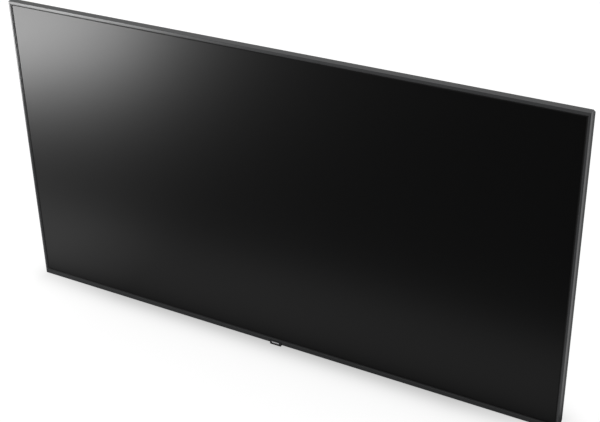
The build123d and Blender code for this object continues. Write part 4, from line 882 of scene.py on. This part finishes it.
def floor_paper():
    """White paper: its own even light to the eye with a painted shadow along the display's foot, and a
    painted reflection level of its own in gloss.
    """
    half_depth, paper_level = 0.03, 0.93
    finish, graph, shader = start_finish("floor_paper", level=0.0)
    shader.inputs["Roughness"].default_value = 1.0
    where = place(graph)
    along, deep, _ = axes_of(graph, where)
    off_middle = compute(graph, "ABSOLUTE", compute(graph, "ADD", deep, half_depth))
    before = compute(graph, "MAXIMUM", compute(graph, "SUBTRACT", off_middle, half_depth), 0)
    fibres = grain(graph, where, scale=3, detail=2, rough=0.5)
    paper = tint(graph, fibres, (0.2, 0.2, 0.2), (0.21, 0.21, 0.21))
    # In glossy rays the paper is black and glows at the painted reflection level.
    mirrored = graph.nodes.new("ShaderNodeLightPath").outputs["Is Glossy Ray"]
    graph.links.new(mix_colour(graph, mirrored, paper, (0.0, 0.0, 0.0)), shader.inputs["Base Color"])
    level = graph.nodes.new("ShaderNodeMix")
    graph.links.new(mirrored, level.inputs[0])
    # Painted shadow along the display's foot, a formula of the distance from it.
    white_with_painted_shadow = compute(graph, "MULTIPLY", foot_shade(graph, along, before), paper_level)
    graph.links.new(white_with_painted_shadow, level.inputs[2])
    graph.links.new(floor_in_gloss(graph, along, deep, before), level.inputs[3])
    glow = graph.nodes.new("ShaderNodeEmission")
    graph.links.new(level.outputs[0], glow.inputs["Strength"])
    both = graph.nodes.new("ShaderNodeAddShader")
    graph.links.new(shader.outputs["BSDF"], both.inputs[0])
    graph.links.new(glow.outputs["Emission"], both.inputs[1])
    graph.links.new(both.outputs["Shader"], graph.nodes["Material Output"].inputs["Surface"])
    return finish


def pale_floor():
    """Plain pale floor with the display's soft shadow: a faint real shadow, and a stronger painted shadow
    along its foot.
    """
    bm = bmesh.new()
    bmesh.ops.create_grid(bm, x_segments=2, y_segments=2, size=30)
    bmesh.ops.translate(bm, verts=bm.verts, vec=(0, 0, FLOOR_Z))
    mesh = bpy.data.meshes.new("pale_floor")
    bm.to_mesh(mesh)
    bm.free()
    floor = bpy.data.objects.new("pale_floor", mesh)
    bpy.context.scene.collection.objects.link(floor)
    floor.data.materials.append(floor_paper())


def studio_world():
    """White room that is dimmer in front of the screen, where it would show in the gloss."""
    room_level, front_level, front_in_gloss = 0.66, 0.5, 0.05
    world = bpy.data.worlds.new("studio")
    bpy.context.scene.world = world
    world.use_nodes = True
    graph = world.node_tree
    coords = graph.nodes.new("ShaderNodeTexCoord")
    _, rearwards, upwards = axes_of(graph, coords.outputs["Generated"])
    above = spread(graph, upwards, 0, 1, start=0.1, end=0.8)
    back = spread(graph, rearwards, 0, 1, start=-0.2, end=0.4)
    path = graph.nodes.new("ShaderNodeLightPath")
    front = spread(graph, path.outputs["Is Glossy Ray"], front_level, front_in_gloss, start=0, end=1)
    room = compute(graph, "MULTIPLY", compute(graph, "MAXIMUM", above, back), room_level)
    soft = compute(graph, "MAXIMUM", room, front)
    seen = compute(graph, "MAXIMUM", path.outputs["Is Camera Ray"], path.outputs["Is Transmission Ray"])
    graph.links.new(compute(graph, "MAXIMUM", soft, seen), graph.nodes["Background"].inputs["Strength"])
    graph.nodes["Background"].inputs["Color"].default_value = (1, 1, 1, 1)


def softbox(name, where, towards, width, height, power):
    """Rectangular lamp that the camera doesn't see."""
    lamp = bpy.data.lights.new(name, "AREA")
    lamp.shape = "RECTANGLE"
    lamp.size = width
    lamp.size_y = height
    lamp.energy = power
    holder = bpy.data.objects.new(name, lamp)
    bpy.context.scene.collection.objects.link(holder)
    holder.location = where
    holder.rotation_euler = (Vector(towards) - Vector(where)).to_track_quat("-Z", "Y").to_euler()
    holder.visible_camera = False


def photo_camera():
    """Camera solved from the frame's four front corners."""
    azimuth, elevation, roll = math.radians(30.8978), math.radians(28.7068), math.radians(-3.1411)
    distance, aim_x, aim_rise = 3.3931, -0.1408, 0.6908
    target = Vector((aim_x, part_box("frame_rail_top")[0][1], LOW_EDGE + aim_rise))
    level_reach = math.cos(elevation)
    back = Vector((math.sin(azimuth) * level_reach, -math.cos(azimuth) * level_reach, math.sin(elevation)))
    right = (-back).cross(Vector((0, 0, 1))).normalized()
    up = right.cross(-back)
    rolled_right = math.cos(roll) * right + math.sin(roll) * up
    rolled_up = -math.sin(roll) * right + math.cos(roll) * up
    lens = bpy.data.cameras.new("photo_camera")
    lens.sensor_width = 36
    lens.lens = 74.26
    lens.shift_x = 0.1283
    lens.shift_y = -0.136
    lens.clip_end = 100
    holder = bpy.data.objects.new("photo_camera", lens)
    bpy.context.scene.collection.objects.link(holder)
    turn = Matrix((rolled_right, rolled_up, back)).transposed().to_4x4()
    holder.matrix_world = Matrix.Translation(target + distance * back) @ turn
    bpy.context.scene.camera = holder


pale_floor()
studio_world()
softbox(
    "left_softbox", where=(-1.793, -1.274, FLOOR_Z + 0.2516), towards=(-0.84, -0.06, 0.3),
    width=0.981, height=0.463, power=18.6
)
photo_camera()
bpy.context.scene.view_settings.view_transform = "Standard"
